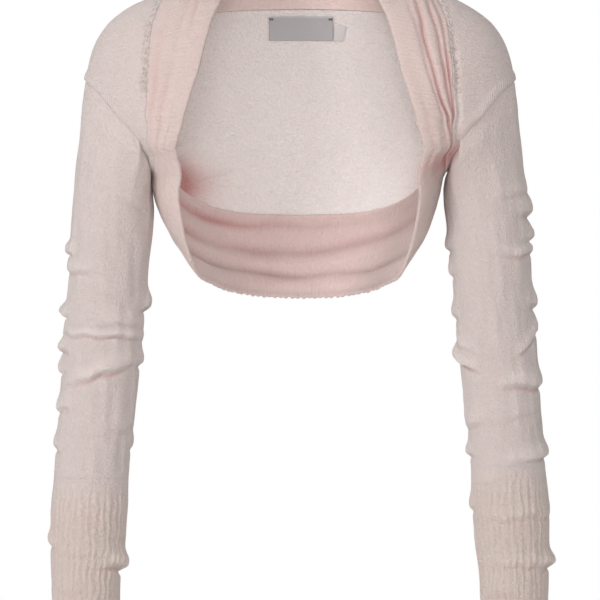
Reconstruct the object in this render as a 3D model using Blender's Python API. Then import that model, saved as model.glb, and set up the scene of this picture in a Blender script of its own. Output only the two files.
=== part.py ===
"""Short open-fronted knitted bolero, filled out as if worn, with nobody inside it.

The body panels and the wide ribbed band lie on one general torso form. A place on that
form is given by a turn in degrees, 0 at the middle of the front and 180 at the middle of
the back, and by a height. The same seam points serve the pieces on both sides of a seam.
Sizes are in millimetres, and MM turns them to metres. Height 0 is where the neck meets
the shoulder, -Y is the front, and -X is the wearer's right.
"""

import math

import bpy
from mathutils import Vector
from mathutils.bvhtree import BVHTree

MM = 0.001

# cloth and seams
KNIT_WALL = 2.0
BAND_WALL = 3.4
SEAM_GAP = 0.3
SLEEVE_SEAM_SHIFT = 0.39
LABEL_WALL = 0.7
LABEL_GAP = 0.5

# how finely each seam and piece is divided
NECK_STEPS = 10
FRONT_STEPS = 14
HEM_STEPS = 10
SHOULDER_STEPS = 6
ARMHOLE_BACK_STEPS = 10
BAND_STEPS_ACROSS = 14
SLEEVE_UPPER_RINGS = 8
SLEEVE_LOWER_RINGS = 26
CUFF_RIBS = 32
CUFF_ROWS = 8
LABEL_COLUMNS = 6
LABEL_ROWS = 3

# over how many rows or rings from a border the folds fade out
BACK_FADE_ROWS = 3
SLEEVE_TOP_FADE_RINGS = 5
SLEEVE_END_FADE_RINGS = 2
CUFF_FADE_ROWS = 2


def table(names, *rows):
    """A short table, a dict of named columns for each row."""
    return [dict(zip(names.split(), row)) for row in rows]


# general torso form, each section a squared ellipse
SECTION_POWER = 2.3
FORM = table(
    "height half_width front back middle_y",
    (-335, 90, 62, 86, 0),
    (-313, 100, 70, 88, 0),
    (-290, 114, 82, 92, 0),
    (-260, 130, 92, 95, 0),
    (-230, 139.5, 98, 97, 0),
    (-213, 143, 100, 98, 0),
    (-204, 149, 101, 99, 0),
    (-192, 166, 102, 100, 0),
    (-184, 185, 102, 101, 0),
    (-170, 204, 101, 101, 0),
    (-150, 217, 98, 100, 0),
    (-113, 214, 90, 95, 0),
    (-85, 207, 82, 88, 0),
    (-60, 193, 72, 80, 0),
    (-45, 175, 64, 72, 0),
    (-35, 156, 58, 66, 2),
    (-25, 130, 53, 62, 4),
    (-15, 100, 52, 60, 5),
    (0, 66, 52, 56, 8),
    (14, 58, 50, 52, 10),
)

# the band, from its seam to its free edge, in the order that it runs round the opening
NECK_BAND = table(
    "seam_turn seam_height edge_turn edge_height",
    (180, -38, 180, 12),
    (165, -39, 163, 12),
    (150, -41.5, 146, 11),
    (135, -41, 128, 9),
    (118, -36, 110, 6),
    (103, -29.5, 94, 2),
    (90, -25.5, 80, -2),
)
HEM_BAND = table(
    "seam_turn seam_height edge_turn edge_height",
    (90, -213, 75, -297),
    (108, -217.5, 96, -313),
    (121, -223, 115, -319),
    (130, -233, 128, -324.5),
    (143, -243.5, 142, -328),
    (160, -249.5, 160, -331),
    (180, -251, 180, -332),
)

# each row of the front runs across it: band seam, band free edge, and armhole
FRONT = table(
    "seam_turn seam_height edge_turn edge_height armhole_turn armhole_height",
    (90, -25.5, 80, -2, 90, -114),
    (72, -27, 60, -6, 86, -115),
    (59, -35, 42, -15, 81, -117),
    (50, -48, 31, -27, 75, -120.5),
    (46, -64, 25, -44, 69, -125),
    (43.5, -84, 24, -70, 63.5, -132),
    (42.3, -110, 24.6, -100, 58, -142),
    (41.8, -135, 26.6, -128, 53.5, -154),
    (42.5, -158, 29.5, -158, 51, -166),
    (45.5, -171, 35, -179, 51, -175),
    (52, -184, 46, -198, 54.5, -182),
    (63, -197, 56, -226, 63, -191),
    (76, -207, 64, -262, 76, -199),
    (90, -213, 75, -297, 90, -204),
)

# the shoulder seam between the neck and the top of the arm
SHOULDER = table("seam_turn seam_height", (90, -25.5), (90, -50), (90, -80), (90, -114))

# rows of the back panel at its middle, level with the arm's top and with the underarm
BACK_AT_ARM_TOP = -74
BACK_AT_UNDERARM = -234

# soft folds across the back panel
FOLD_NAMES = "height drop turn half_turn relief half_width"
BACK_FOLDS = table(
    FOLD_NAMES,
    (-205, -0.45, 140, 34, 3.0, 13),
    (-172, -0.6, 142, 30, 2.2, 12),
    (-210, 0.4, 218, 36, 2.8, 13),
    (-178, 0.55, 220, 30, 2.4, 12),
    (-232, 0.0, 180, 60, 2.6, 12),
)

# valleys that run along the band: where each lies across it, seam 0 to free edge 1, and how
# deep it is, at stations along the stretch; half_width is a share of the band's width
STATIONS = (0, 0.18, 0.34, 0.5, 0.64, 1)
NECK_VALLEYS = (
    {"places": (0.42, 0.43, 0.44, 0.45, 0.44, 0.42), "depths": (0.8, 0.8, 0.8, 0.8, 0.8, 0.8),
     "half_width": 0.12},
)
FRONT_LEFT_VALLEYS = (
    {"places": (0.48, 0.50, 0.52, 0.44, 0.14, 0.08), "depths": (3.0, 5.5, 6.0, 6.0, 3.5, 0),
     "half_width": 0.08},
    {"places": (0.22, 0.22, 0.20, 0.12, 0.05, 0), "depths": (2.5, 4.0, 4.0, 4.5, 1.0, 0),
     "half_width": 0.075},
    {"places": (0.80, 0.80, 0.80, 0.78, 0.72, 0.70), "depths": (0.4, 0.4, 0.5, 0.8, 1.2, -2.4),
     "half_width": 0.1},
    {"places": (0.36, 0.36, 0.36, 0.40, 0.40, 0.30), "depths": (0, 0, 0, 0, 1.4, -2.4),
     "half_width": 0.1},
)
FRONT_RIGHT_VALLEYS = (
    {"places": (0.60, 0.60, 0.56, 0.48, 0.45, 0.42), "depths": (1.8, 2.0, 1.4, 1.5, 1.6, -2.0),
     "half_width": 0.1},
    {"places": (0.80, 0.80, 0.80, 0.78, 0.74, 0.68), "depths": (0, 0, 0.4, 0.4, 0.6, -2.4),
     "half_width": 0.08},
    {"places": (0.30, 0.30, 0.22, 0.20, 0.18, 0.16), "depths": (0.5, 0.6, 0.8, 1.0, 0.8, -2.4),
     "half_width": 0.09},
)
HEM_VALLEYS = (
    {"places": (0.30, 0.26, 0.34, 0.44, 0.44, 0.42), "depths": (-2.4, -2.8, -2.8, -2.8, -2.8, -2.0),
     "half_width": 0.1},
    {"places": (0.70, 0.70, 0.72, 0.74, 0.71, 0.68), "depths": (-2.4, -2.8, -3.0, -3.2, -2.8, -2.4),
     "half_width": 0.08},
    {"places": (0.10, 0.10, 0.10, 0.12, 0.14, 0.16), "depths": (0, 0, 0, -1.0, -2.8, -2.4),
     "half_width": 0.08},
)
BAND_CROWN = 3.4
BAND_SEAM_FADE = 0.08
BAND_EDGE_FADE = 0.08
BAND_EDGE_ROUND = 0.9

# the sleeve below the armhole: outer and inner line seen from the front, and depths
SLEEVE = table(
    "outer_height outer_x inner_height inner_x front back middle_y",
    (-114, 214, -204, 149, 66, 66, 4),
    (-138, 217, -214, 149.2, 65, 62, 4),
    (-165, 219.5, -226, 147.4, 59, 57, 4),
    (-195, 223, -240, 147, 53, 52, 4),
    (-225, 226, -256, 147.2, 49, 48, 4),
    (-255, 228.5, -274, 149, 46, 46, 4),
    (-290, 230.5, -298, 151, 44, 44, 5),
    (-325, 232.5, -327, 153.5, 42, 42, 5),
    (-360, 235.5, -360, 156.5, 41, 41, 4),
    (-395, 238, -395, 160, 40, 40, 2),
    (-430, 239.5, -430, 163, 39, 39, -2),
    (-465, 242, -465, 167.5, 38, 38, -6),
    (-500, 244.5, -500, 170.5, 37, 36, -11),
)
SLEEVE_UPPER_END = -240
ARMHOLE_BLEND_RINGS = 7

# the ribbed cuff carries the sleeve's line on to its open end
CUFF = table(
    "outer_height outer_x inner_x front back middle_y",
    (-500, 244.5, 170.5, 37, 36, -11),
    (-535, 247, 172, 36, 35, -15),
    (-565, 247.5, 174, 35, 34, -18),
    (-600, 247, 178.5, 33, 32, -22),
    (-635, 246, 180.5, 31, 31, -25),
    (-675, 245.5, 182.5, 30, 30, -28),
)
CUFF_END = -675
CUFF_RIB_RELIEF = 1.5
CUFF_START = {"right": -512, "left": -500}

# ridges round each sleeve: turn 0 is its outer line, 90 its front, 180 its inner line
SLEEVE_FOLDS = {
    "right": table(
        FOLD_NAMES,
        (-282, 0.05, 0, 60, 6.0, 10),
        (-310, 0.02, 15, 70, 5.0, 9),
        (-345, 0.05, 350, 62, 7.5, 10),
        (-365, 0.0, 95, 95, 5.0, 8),
        (-337, 0.04, 182, 50, 6.0, 9),
        (-383, 0.02, 5, 55, 5.5, 9),
        (-391, 0.06, 175, 48, 5.5, 9),
        (-403, -0.14, 75, 70, 5.5, 9),
        (-440, 0.0, 25, 65, 4.0, 9),
        (-474, 0.03, 0, 60, 4.5, 9),
        (-300, 0.08, 265, 65, 4.5, 10),
        (-345, -0.08, 255, 70, 5.0, 10),
        (-388, 0.1, 270, 70, 5.5, 10),
        (-428, -0.06, 260, 60, 4.0, 10),
        (-476, 0.05, 200, 60, 3.0, 9),
        (-232, 0.25, 120, 45, 3.0, 10),
    ),
    "left": table(
        FOLD_NAMES,
        (-241, 0.02, 5, 55, 5.5, 9),
        (-268, 0.05, 355, 55, 5.0, 9),
        (-288, 0.04, 25, 68, 4.0, 8),
        (-281, 0.05, 180, 45, 3.5, 9),
        (-333, 0.0, 0, 58, 4.5, 9),
        (-360, 0.45, 20, 62, 4.5, 9),
        (-345, 0.06, 182, 45, 4.5, 9),
        (-387, -0.25, 165, 62, 9.0, 10),
        (-413, 0.05, 45, 70, 6.0, 9),
        (-484, 0.05, 35, 85, 6.0, 9),
        (-452, 0.06, 150, 55, 3.5, 9),
        (-484, 0.05, 180, 40, 4.5, 9),
        (-260, 0.08, 262, 65, 4.0, 10),
        (-312, -0.08, 268, 65, 4.5, 10),
        (-364, 0.1, 258, 70, 5.5, 10),
        (-408, -0.08, 270, 65, 5.0, 10),
        (-448, 0.08, 262, 60, 4.0, 10),
    ),
}
CUFF_FOLDS = {
    "right": table(
        FOLD_NAMES,
        (-573, 0.02, 0, 50, 3.0, 9),
        (-592, 0.03, 175, 65, 6.0, 9),
        (-556, 0.05, 262, 60, 3.5, 10),
        (-615, 0.0, 60, 50, 2.0, 10),
    ),
    "left": table(
        FOLD_NAMES,
        (-545, 0.05, 180, 60, 3.5, 9),
        (-594, 0.05, 12, 70, 6.0, 9),
        (-528, -0.05, 265, 60, 3.5, 10),
        (-618, 0.0, 110, 55, 2.0, 10),
    ),
}
FOLD_SHADOW = 0.5
FOLD_SHADOW_DROP = 1.7

# neck label and the size tab that shows below its corner, inside the back
LABEL = {"half_width": 32.5, "top": -46.5, "bottom": -70.5, "middle_x": 1}
SIZE_TAB = {"left": 34.5, "right": 47, "top": -56, "bottom": -71, "slant": 3}

COLOURS = {
    "knit": (0.66, 0.57, 0.54, 1.0),
    "rib": (0.71, 0.61, 0.57, 1.0),
    "label": (0.37, 0.39, 0.39, 1.0),
    "tab": (0.80, 0.79, 0.78, 1.0),
}
KNIT_ROUGHNESS = 0.92
TRIM_ROUGHNESS = 0.6
SHARP_ANGLE = 50


def smooth_value(places, values, place):
    """A smooth reading between listed values that never swings past them."""
    count = len(places)
    widths = [places[i + 1] - places[i] for i in range(count - 1)]
    slopes = [(values[i + 1] - values[i]) / widths[i] for i in range(count - 1)]
    bends = [slopes[0]] + [0.0] * (count - 2) + [slopes[-1]]
    for i in range(1, count - 1):
        if slopes[i - 1] * slopes[i] > 0:
            weight_1 = 2 * widths[i] + widths[i - 1]
            weight_2 = widths[i] + 2 * widths[i - 1]
            bends[i] = (weight_1 + weight_2) / (weight_1 / slopes[i - 1] + weight_2 / slopes[i])
    i = max(0, min(count - 2, sum(1 for p in places if p <= place) - 1))
    t = (place - places[i]) / widths[i]
    return ((2 * t**3 - 3 * t**2 + 1) * values[i]
            + (t**3 - 2 * t**2 + t) * widths[i] * bends[i]
            + (3 * t**2 - 2 * t**3) * values[i + 1]
            + (t**3 - t**2) * widths[i] * bends[i + 1])


def read_rows(rows, place):
    """Every column of a table at one value of its first column."""
    first, *others = rows[0]
    rows = sorted(rows, key=lambda row: row[first])
    places = [row[first] for row in rows]
    found = {name: smooth_value(places, [row[name] for row in rows], place) for name in others}
    return {first: place, **found}


def form_point(turn, height):
    """The point of the torso form at a turn and a height."""
    size = read_rows(FORM, height)
    sine = math.sin(math.radians(turn))
    cosine = math.cos(math.radians(turn))
    power = 2 / SECTION_POWER
    across = size["half_width"] * math.copysign(abs(sine) ** power, sine)
    depth = size["front"] if cosine > 0 else size["back"]
    return Vector((across, size["middle_y"] - depth * math.copysign(abs(cosine) ** power, cosine), height))


def form_normal(turn, height):
    """The outward direction of the torso form."""
    step_turn, step_height = 3.0, 4.0
    along = form_point(turn + step_turn, height) - form_point(turn - step_turn, height)
    up = form_point(turn, height + step_height) - form_point(turn, height - step_height)
    return along.cross(up).normalized()


def spot(row, line):
    """The chart place, a turn and a height, where a row meets one of its lines."""
    return [row[line + "_turn"], row[line + "_height"]]


def even_rows(rows, steps, lines):
    """Rows read again at equal spacing along the mean of the lines that they describe."""
    reach = [0.0]
    for before, after in zip(rows, rows[1:]):
        length = sum((form_point(*spot(after, line)) - form_point(*spot(before, line))).length
                     for line in lines)
        reach.append(reach[-1] + length)
    places = [reach[-1] * k / steps for k in range(steps + 1)]
    return [{name: smooth_value(reach, [row[name] for row in rows], place) for name in rows[0]}
            for place in places]


def between(first, last, share):
    """A weighted mean of two lists of numbers."""
    return [a + (b - a) * share for a, b in zip(first, last)]


def border_shares(border):
    """How far along its turns each place of a border lies, and how far it bows off its chord."""
    span = border[-1][0] - border[0][0]
    shares = [(place[0] - border[0][0]) / span for place in border]
    bows = [place[1] - between(border[0], border[-1], share)[1] for place, share in zip(border, shares)]
    return shares, bows


def patch(top, bottom, start, end):
    """Chart places filled in between four border lines, a row for each step down the sides."""
    down = len(start) - 1
    (top_shares, top_bows), (low_shares, low_bows) = border_shares(top), border_shares(bottom)
    rows = []
    for i in range(down + 1):
        v = i / down
        shares, bows = between(top_shares, low_shares, v), between(top_bows, low_bows, v)
        row = [between(start[i], end[i], share) for share in shares]
        rows.append([[turn, height + bow] for (turn, height), bow in zip(row, bows)])
    return rows


def mirrored(place):
    """The same chart place on the other side of the body."""
    return [360 - place[0], place[1]]


def mirrored_row(row):
    """The same row of a table on the other side of the body."""
    return {name: 360 - value if name.endswith("_turn") else value for name, value in row.items()}


def ridge(distance, half_width):
    """Section of a fold: a rounded rise with a softer hollow just below it."""
    shadow = (distance - FOLD_SHADOW_DROP * half_width) / half_width
    return math.exp(-(distance / half_width) ** 2) - FOLD_SHADOW * math.exp(-shadow**2)


def fold_relief(folds, turn, height):
    """How far a set of folds lifts the cloth at a turn and a height."""
    total = 0.0
    for fold in folds:
        offset = (turn - fold["turn"] + 180) % 360 - 180
        if abs(offset) < fold["half_turn"]:
            fade = math.cos(math.radians(90 * offset / fold["half_turn"])) ** 2
            distance = fold["height"] - fold["drop"] * offset - height
            total += fold["relief"] * fade * ridge(distance, fold["half_width"])
    return total


def fade_in(share):
    """0 at a border, rising smoothly to 1 further in."""
    t = max(0.0, min(1.0, share))
    return t * t * (3 - 2 * t)


def add_material(name, colour, roughness):
    """A plain cloth finish."""
    material = bpy.data.materials.new(name)
    material.use_nodes = True
    shader = material.node_tree.nodes["Principled BSDF"]
    shader.inputs["Base Color"].default_value = colour
    shader.inputs["Roughness"].default_value = roughness
    shader.inputs["Metallic"].default_value = 0.0
    return material


def add_object(name, points, faces, colour, roughness=KNIT_ROUGHNESS):
    """A named object from points in millimetres."""
    mesh = bpy.data.meshes.new(name)
    mesh.from_pydata([tuple(point * MM) for point in points], [], faces)
    mesh.materials.append(add_material(name + "_cloth", COLOURS[colour], roughness))
    mesh.shade_smooth()
    mesh.set_sharp_from_angle(angle=math.radians(SHARP_ANGLE))
    cloth = bpy.data.objects.new(name, mesh)
    bpy.context.scene.collection.objects.link(cloth)
    return cloth


def add_wall(name, outer, inner, colour, ring=False, roughness=KNIT_ROUGHNESS):
    """Cloth between two grids of points. Rings close on themselves; other grids have four edges."""
    rows, width = len(outer), len(outer[0])
    points = [point for row in outer for point in row] + [point for row in inner for point in row]
    back = rows * width
    steps = width if ring else width - 1
    faces = []
    for i in range(rows - 1):
        for j in range(steps):
            a, b = i * width + j, i * width + (j + 1) % width
            c, d = b + width, a + width
            faces.append((a, b, c, d))
            faces.append((d + back, c + back, b + back, a + back))
    for j in range(steps):
        a, b = j, (j + 1) % width
        faces.append((b, a, a + back, b + back))
        a, b = a + (rows - 1) * width, b + (rows - 1) * width
        faces.append((a, b, b + back, a + back))
    if not ring:
        for i in range(rows - 1):
            a, d = i * width, (i + 1) * width
            faces.append((a, d, d + back, a + back))
            a, d = a + width - 1, d + width - 1
            faces.append((d, a, a + back, d + back))
    return add_object(name, points, faces, colour, roughness)


def moved(point, aim, distance):
    """A point moved a short way towards another."""
    return point + (aim - point).normalized() * distance


def shifted(row, towards, distance):
    """A row of points moved a short way towards another row."""
    return [moved(point, aim, distance) for point, aim in zip(row, towards)]


def panel_grids(chart, relief, wall):
    """Outer and inner points of a panel whose chart places and fold relief are given."""
    outer, inner = [], []
    for i, row in enumerate(chart):
        outer.append([])
        inner.append([])
        for j, place in enumerate(row):
            normal = form_normal(*place)
            surface = form_point(*place) + normal * relief(i, j, place)
            outer[-1].append(surface)
            inner[-1].append(surface - normal * wall)
    return outer, inner


NECK_ROWS = even_rows(NECK_BAND, NECK_STEPS, ("seam", "edge"))
FRONT_ROWS = even_rows(FRONT, FRONT_STEPS, ("seam", "edge", "armhole"))
HEM_ROWS = even_rows(HEM_BAND, HEM_STEPS, ("seam", "edge"))
SHOULDER_ROWS = even_rows(SHOULDER, SHOULDER_STEPS, ("seam",))
ARMHOLE_BACK = [{"seam_turn": 180 - row["armhole_turn"], "seam_height": row["armhole_height"]}
                for row in FRONT]
ARMHOLE_BACK_ROWS = even_rows(ARMHOLE_BACK, ARMHOLE_BACK_STEPS, ("seam",))

SHOULDER_LINE = [spot(row, "seam") for row in SHOULDER_ROWS]
ARMHOLE_FRONT_LINE = [spot(row, "armhole") for row in FRONT_ROWS]
ARMHOLE_BACK_LINE = [spot(row, "seam") for row in ARMHOLE_BACK_ROWS]
SIDE_POINT = spot(FRONT[-1], "seam")


def back_chart():
    """Chart places of the whole back panel, from the wearer's right side to the left."""
    side = SHOULDER_LINE + ARMHOLE_BACK_LINE[1:] + [SIDE_POINT]
    neck_middle, hem_middle = spot(NECK_BAND[0], "seam"), spot(HEM_BAND[-1], "seam")
    arm_top, underarm = [180, BACK_AT_ARM_TOP], [180, BACK_AT_UNDERARM]
    upper = [between(neck_middle, arm_top, k / SHOULDER_STEPS) for k in range(SHOULDER_STEPS)]
    lower = [between(arm_top, underarm, k / ARMHOLE_BACK_STEPS) for k in range(ARMHOLE_BACK_STEPS + 1)]
    middle = upper + lower + [hem_middle]
    neck = [spot(row, "seam") for row in NECK_ROWS]
    hem = [spot(row, "seam") for row in reversed(HEM_ROWS)]
    half = patch(neck, hem, middle, side)
    return [[mirrored(place) for place in reversed(row[1:])] + row for row in half]


def back_panel_grids():
    """The back panel, with its folds fading out at every seam."""
    chart = back_chart()
    down, across = len(chart) - 1, len(chart[0]) - 1

    def relief(i, j, place):
        border = min(i, down - i, j, across - j) / BACK_FADE_ROWS
        return fade_in(border) * fold_relief(BACK_FOLDS, *place)

    return panel_grids(chart, relief, KNIT_WALL)


def build_back_panel():
    """The back, from the neck and shoulder seams down to the seam of the lower band."""
    outer, inner = back_panel_grids()
    add_wall("back_panel", outer, inner, "knit")


def build_front_panel(name, mirror):
    """The narrow front between the band, the shoulder seam and the armhole.

    Its rows run straight across, with the spacing of the shoulder seam's points.
    """
    (_, start), (_, end) = SHOULDER_LINE[0], SHOULDER_LINE[-1]
    shares = [(height - start) / (end - start) for _, height in SHOULDER_LINE]
    chart = [[between(spot(row, "seam"), spot(row, "armhole"), share) for share in shares]
             for row in FRONT_ROWS]
    if mirror:
        chart = [[mirrored(place) for place in row] for row in chart]
        seam_end, inwards = 0, 1
    else:
        chart = [list(reversed(row)) for row in chart]
        seam_end, inwards = -1, -2
    outer, inner = panel_grids(chart, lambda i, j, place: 0.0, KNIT_WALL)
    for grid in (outer, inner):
        grid[0] = shifted(grid[0], grid[1], SEAM_GAP)
        grid[-1] = shifted(grid[-1], grid[-2], SEAM_GAP)
        for row in grid:
            row[seam_end] = moved(row[seam_end], row[inwards], SEAM_GAP / 2)
    add_wall(name, outer, inner, "knit")


def band_relief(valleys, along, across):
    """Height of the band's face: crowned across its width, with valleys that run along it."""
    crown = BAND_CROWN * max(0.0, math.sin(math.pi * across)) ** 0.8
    fade = fade_in(across / BAND_SEAM_FADE) * fade_in((1 - across) / BAND_EDGE_FADE)
    for valley in valleys:
        place = smooth_value(STATIONS, valley["places"], along)
        depth = smooth_value(STATIONS, valley["depths"], along)
        crown -= fade * depth * math.exp(-((across - place) / valley["half_width"]) ** 2)
    return crown


def build_band(name, rows, valleys, mirror=False, whole=False):
    """One stretch of the band. A whole stretch crosses the middle of the back."""
    others = [mirrored_row(row) for row in reversed(rows)]
    if mirror:
        rows = others
    elif whole:
        rows = rows[:-1] + others if rows[-1]["seam_turn"] == 180 else others + rows[1:]
    outer, inner = [], []
    last = len(rows) - 1
    for i, row in enumerate(rows):
        along = 1 - i / last if mirror else i / last
        outer.append([])
        inner.append([])
        for j in range(BAND_STEPS_ACROSS + 1):
            across = j / BAND_STEPS_ACROSS
            place = between(spot(row, "seam"), spot(row, "edge"), across)
            normal = form_normal(*place)
            surface = form_point(*place) + normal * band_relief(valleys, along, across)
            rounding = BAND_EDGE_ROUND if j == BAND_STEPS_ACROSS else 0.0
            outer[-1].append(surface - normal * rounding)
            inner[-1].append(surface - normal * (BAND_WALL - rounding))
    for grid in (outer, inner):
        for row in grid:
            row[0] = moved(row[0], row[1], SEAM_GAP)
        grid[0] = shifted(grid[0], grid[1], SEAM_GAP / 2)
        grid[-1] = shifted(grid[-1], grid[-2], SEAM_GAP / 2)
    add_wall(name, outer, inner, "rib")


def ring_point(size, turn):
    """A point of a sleeve ring given by its outer and inner line, depths and middle."""
    cosine, sine = math.cos(math.radians(turn)), math.sin(math.radians(turn))
    outside = Vector((size["outer_x"], size["middle_y"], size["outer_height"]))
    inside = Vector((size["inner_x"], size["middle_y"], size["inner_height"]))
    middle = (outside + inside) / 2
    depth = size["front"] if sine > 0 else size["back"]
    return middle + (outside - inside) / 2 * cosine + Vector((0, -depth * sine, 0)), middle


def cuff_size(height):
    """Cuff sizes at a height. Its rings lie level."""
    return {**read_rows(CUFF, height), "inner_height": height}


def sleeve_size(height):
    """Sleeve sizes at a height of its outer line, read from the cuff's table past its own end."""
    return cuff_size(height) if height < SLEEVE[-1]["outer_height"] else read_rows(SLEEVE, height)


def sleeve_heights(end):
    """Heights of the rings' outer points, wider apart above the elbow folds."""
    start = SLEEVE[0]["outer_height"]
    upper = [start + (SLEEVE_UPPER_END - start) * k / SLEEVE_UPPER_RINGS
             for k in range(SLEEVE_UPPER_RINGS)]
    lower = [SLEEVE_UPPER_END + (end - SLEEVE_UPPER_END) * k / SLEEVE_LOWER_RINGS
             for k in range(SLEEVE_LOWER_RINGS + 1)]
    return upper + lower


def armhole_ring():
    """The armhole's points and outward directions, from the arm's top round by the front."""
    places = ARMHOLE_FRONT_LINE + list(reversed(ARMHOLE_BACK_LINE[1:-1]))
    return [(form_point(*place), form_normal(*place)) for place in places]


def ring_turns():
    """Turn of each sleeve point, spaced as the armhole's points are."""
    def shares(line):
        points = [form_point(*place) for place in line]
        reach = [0.0]
        for before, after in zip(points, points[1:]):
            reach.append(reach[-1] + (after - before).length)
        return [length / reach[-1] for length in reach]
    front = [180 * share for share in shares(ARMHOLE_FRONT_LINE)]
    back = [360 - 180 * share for share in reversed(shares(ARMHOLE_BACK_LINE)[1:-1])]
    return front + back


def sleeve_grids(side):
    """Outer and inner rings of one sleeve, on the +X side."""
    turns = ring_turns()
    seam = armhole_ring()
    heights = sleeve_heights(CUFF_START[side] + SEAM_GAP / 2)
    first = sleeve_size(heights[0])
    last = len(heights) - 1
    outer, inner = [], []
    for k, height in enumerate(heights):
        size = sleeve_size(height)
        hold = 1 - fade_in(k / ARMHOLE_BLEND_RINGS)
        fade = fade_in((k - 1) / SLEEVE_TOP_FADE_RINGS) * fade_in((last - k) / SLEEVE_END_FADE_RINGS)
        outer.append([])
        inner.append([])
        for turn, (seam_point, _) in zip(turns, seam):
            point, middle = ring_point(size, turn)
            point += (seam_point - ring_point(first, turn)[0]) * hold
            radial = (point - middle).normalized()
            relief = fade * fold_relief(SLEEVE_FOLDS[side], turn, point.z)
            outer[-1].append(point + radial * relief)
            inner[-1].append(point + radial * (relief - KNIT_WALL))
    for j, (seam_point, normal) in enumerate(seam):
        way = (outer[1][j] - outer[0][j]).normalized()
        shift = (normal + way).normalized() * SLEEVE_SEAM_SHIFT
        outer[0][j] += shift
        inner[0][j] += shift
    return outer, inner


def placed(grid, side):
    """A +X grid as it stands, or mirrored to -X with its rings turned the other way."""
    if side == "left":
        return grid
    flipped = [[Vector((-p.x, p.y, p.z)) for p in row] for row in grid]
    return [[row[0]] + list(reversed(row[1:])) for row in flipped]


def build_sleeve(side):
    """One sleeve, a full tube from the armhole down to the cuff seam."""
    outer, inner = sleeve_grids(side)
    add_wall("sleeve_" + side, placed(outer, side), placed(inner, side), "knit", ring=True)


def cuff_wall(side, points_round, relief_at, inset):
    """Rings of the cuff, with a relief for each point."""
    start, rings = CUFF_START[side] - SEAM_GAP / 2, []
    for k in range(CUFF_ROWS + 1):
        height = start + (CUFF_END - start) * k / CUFF_ROWS
        size = cuff_size(height)
        fade = fade_in(k / CUFF_FADE_ROWS)
        rings.append([])
        for j in range(points_round):
            turn = 360 * j / points_round
            point, middle = ring_point(size, turn)
            radial = (point - middle).normalized()
            relief = fade * fold_relief(CUFF_FOLDS[side], turn, height) + relief_at(j) - inset
            rings[-1].append(point + radial * relief)
    return rings


def build_cuff(side):
    """The ribbed cuff: ribs raised outside over a plain inner face."""
    outer = placed(cuff_wall(side, 2 * CUFF_RIBS, lambda j: CUFF_RIB_RELIEF * (j % 2), 0.0), side)
    inner = placed(cuff_wall(side, CUFF_RIBS, lambda j: 0.0, KNIT_WALL), side)
    points = [point for row in outer + inner for point in row]
    wide, narrow = 2 * CUFF_RIBS, CUFF_RIBS
    inside = (CUFF_ROWS + 1) * wide
    faces = []
    for k in range(CUFF_ROWS):
        for j in range(wide):
            a, b = k * wide + j, k * wide + (j + 1) % wide
            faces.append((a, b, b + wide, a + wide))
        for j in range(narrow):
            a, b = inside + k * narrow + j, inside + k * narrow + (j + 1) % narrow
            faces.append((a + narrow, b + narrow, b, a))
    for j in range(narrow):
        next_j = (j + 1) % narrow
        a, rib, b = 2 * j, 2 * j + 1, 2 * next_j
        in_a, in_b = inside + j, inside + next_j
        faces.append((rib, a, in_a))
        faces.append((rib, in_a, in_b))
        faces.append((b, rib, in_b))
        low_out, low_in = CUFF_ROWS * wide, CUFF_ROWS * narrow
        faces.append((a + low_out, rib + low_out, in_a + low_in))
        faces.append((rib + low_out, in_b + low_in, in_a + low_in))
        faces.append((rib + low_out, b + low_out, in_b + low_in))
    add_object("cuff_" + side, points, faces, "rib")


def inner_face_reader():
    """A function giving the point of the back's inner face at an x and a height."""
    grid = back_panel_grids()[1]
    width = len(grid[0])
    faces = [(k, k + 1, k + 1 + width, k + width)
             for i in range(len(grid) - 1) for k in range(i * width, (i + 1) * width - 1)]
    tree = BVHTree.FromPolygons([point for row in grid for point in row], faces)
    in_front = -300

    def read(x, height):
        return tree.ray_cast(Vector((x, in_front, height)), Vector((0, 1, 0)))[0]
    return read


def build_trim(name, corners, colour):
    """A small flat piece lying on the inner face of the back, between four corner places."""
    read = inner_face_reader()
    top_left, top_right, low_left, low_right = corners
    near, far = [], []
    for i in range(LABEL_ROWS + 1):
        v = i / LABEL_ROWS
        near.append([])
        far.append([])
        for j in range(LABEL_COLUMNS + 1):
            u = j / LABEL_COLUMNS
            x, height = between(between(top_left, top_right, u), between(low_left, low_right, u), v)
            point = read(x, height)
            near[-1].append(point - Vector((0, LABEL_GAP, 0)))
            far[-1].append(point - Vector((0, LABEL_GAP + LABEL_WALL, 0)))
    add_wall(name, near, far, colour, roughness=TRIM_ROUGHNESS)


def build_label():
    """The bare woven neck label."""
    middle, half = LABEL["middle_x"], LABEL["half_width"]
    corners = ((middle - half, LABEL["top"]), (middle + half, LABEL["top"]),
               (middle - half, LABEL["bottom"]), (middle + half, LABEL["bottom"]))
    build_trim("neck_label", corners, "label")


def build_size_tab():
    """The small plain tab beside the label."""
    corners = ((SIZE_TAB["left"], SIZE_TAB["top"]), (SIZE_TAB["right"], SIZE_TAB["top"]),
               (SIZE_TAB["left"], SIZE_TAB["bottom"]),
               (SIZE_TAB["right"] - SIZE_TAB["slant"], SIZE_TAB["bottom"]))
    build_trim("size_tab", corners, "tab")


def clear_scene():
    """Remove whatever the file holds at the start."""
    for item in list(bpy.data.objects):
        bpy.data.objects.remove(item, do_unlink=True)


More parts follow.
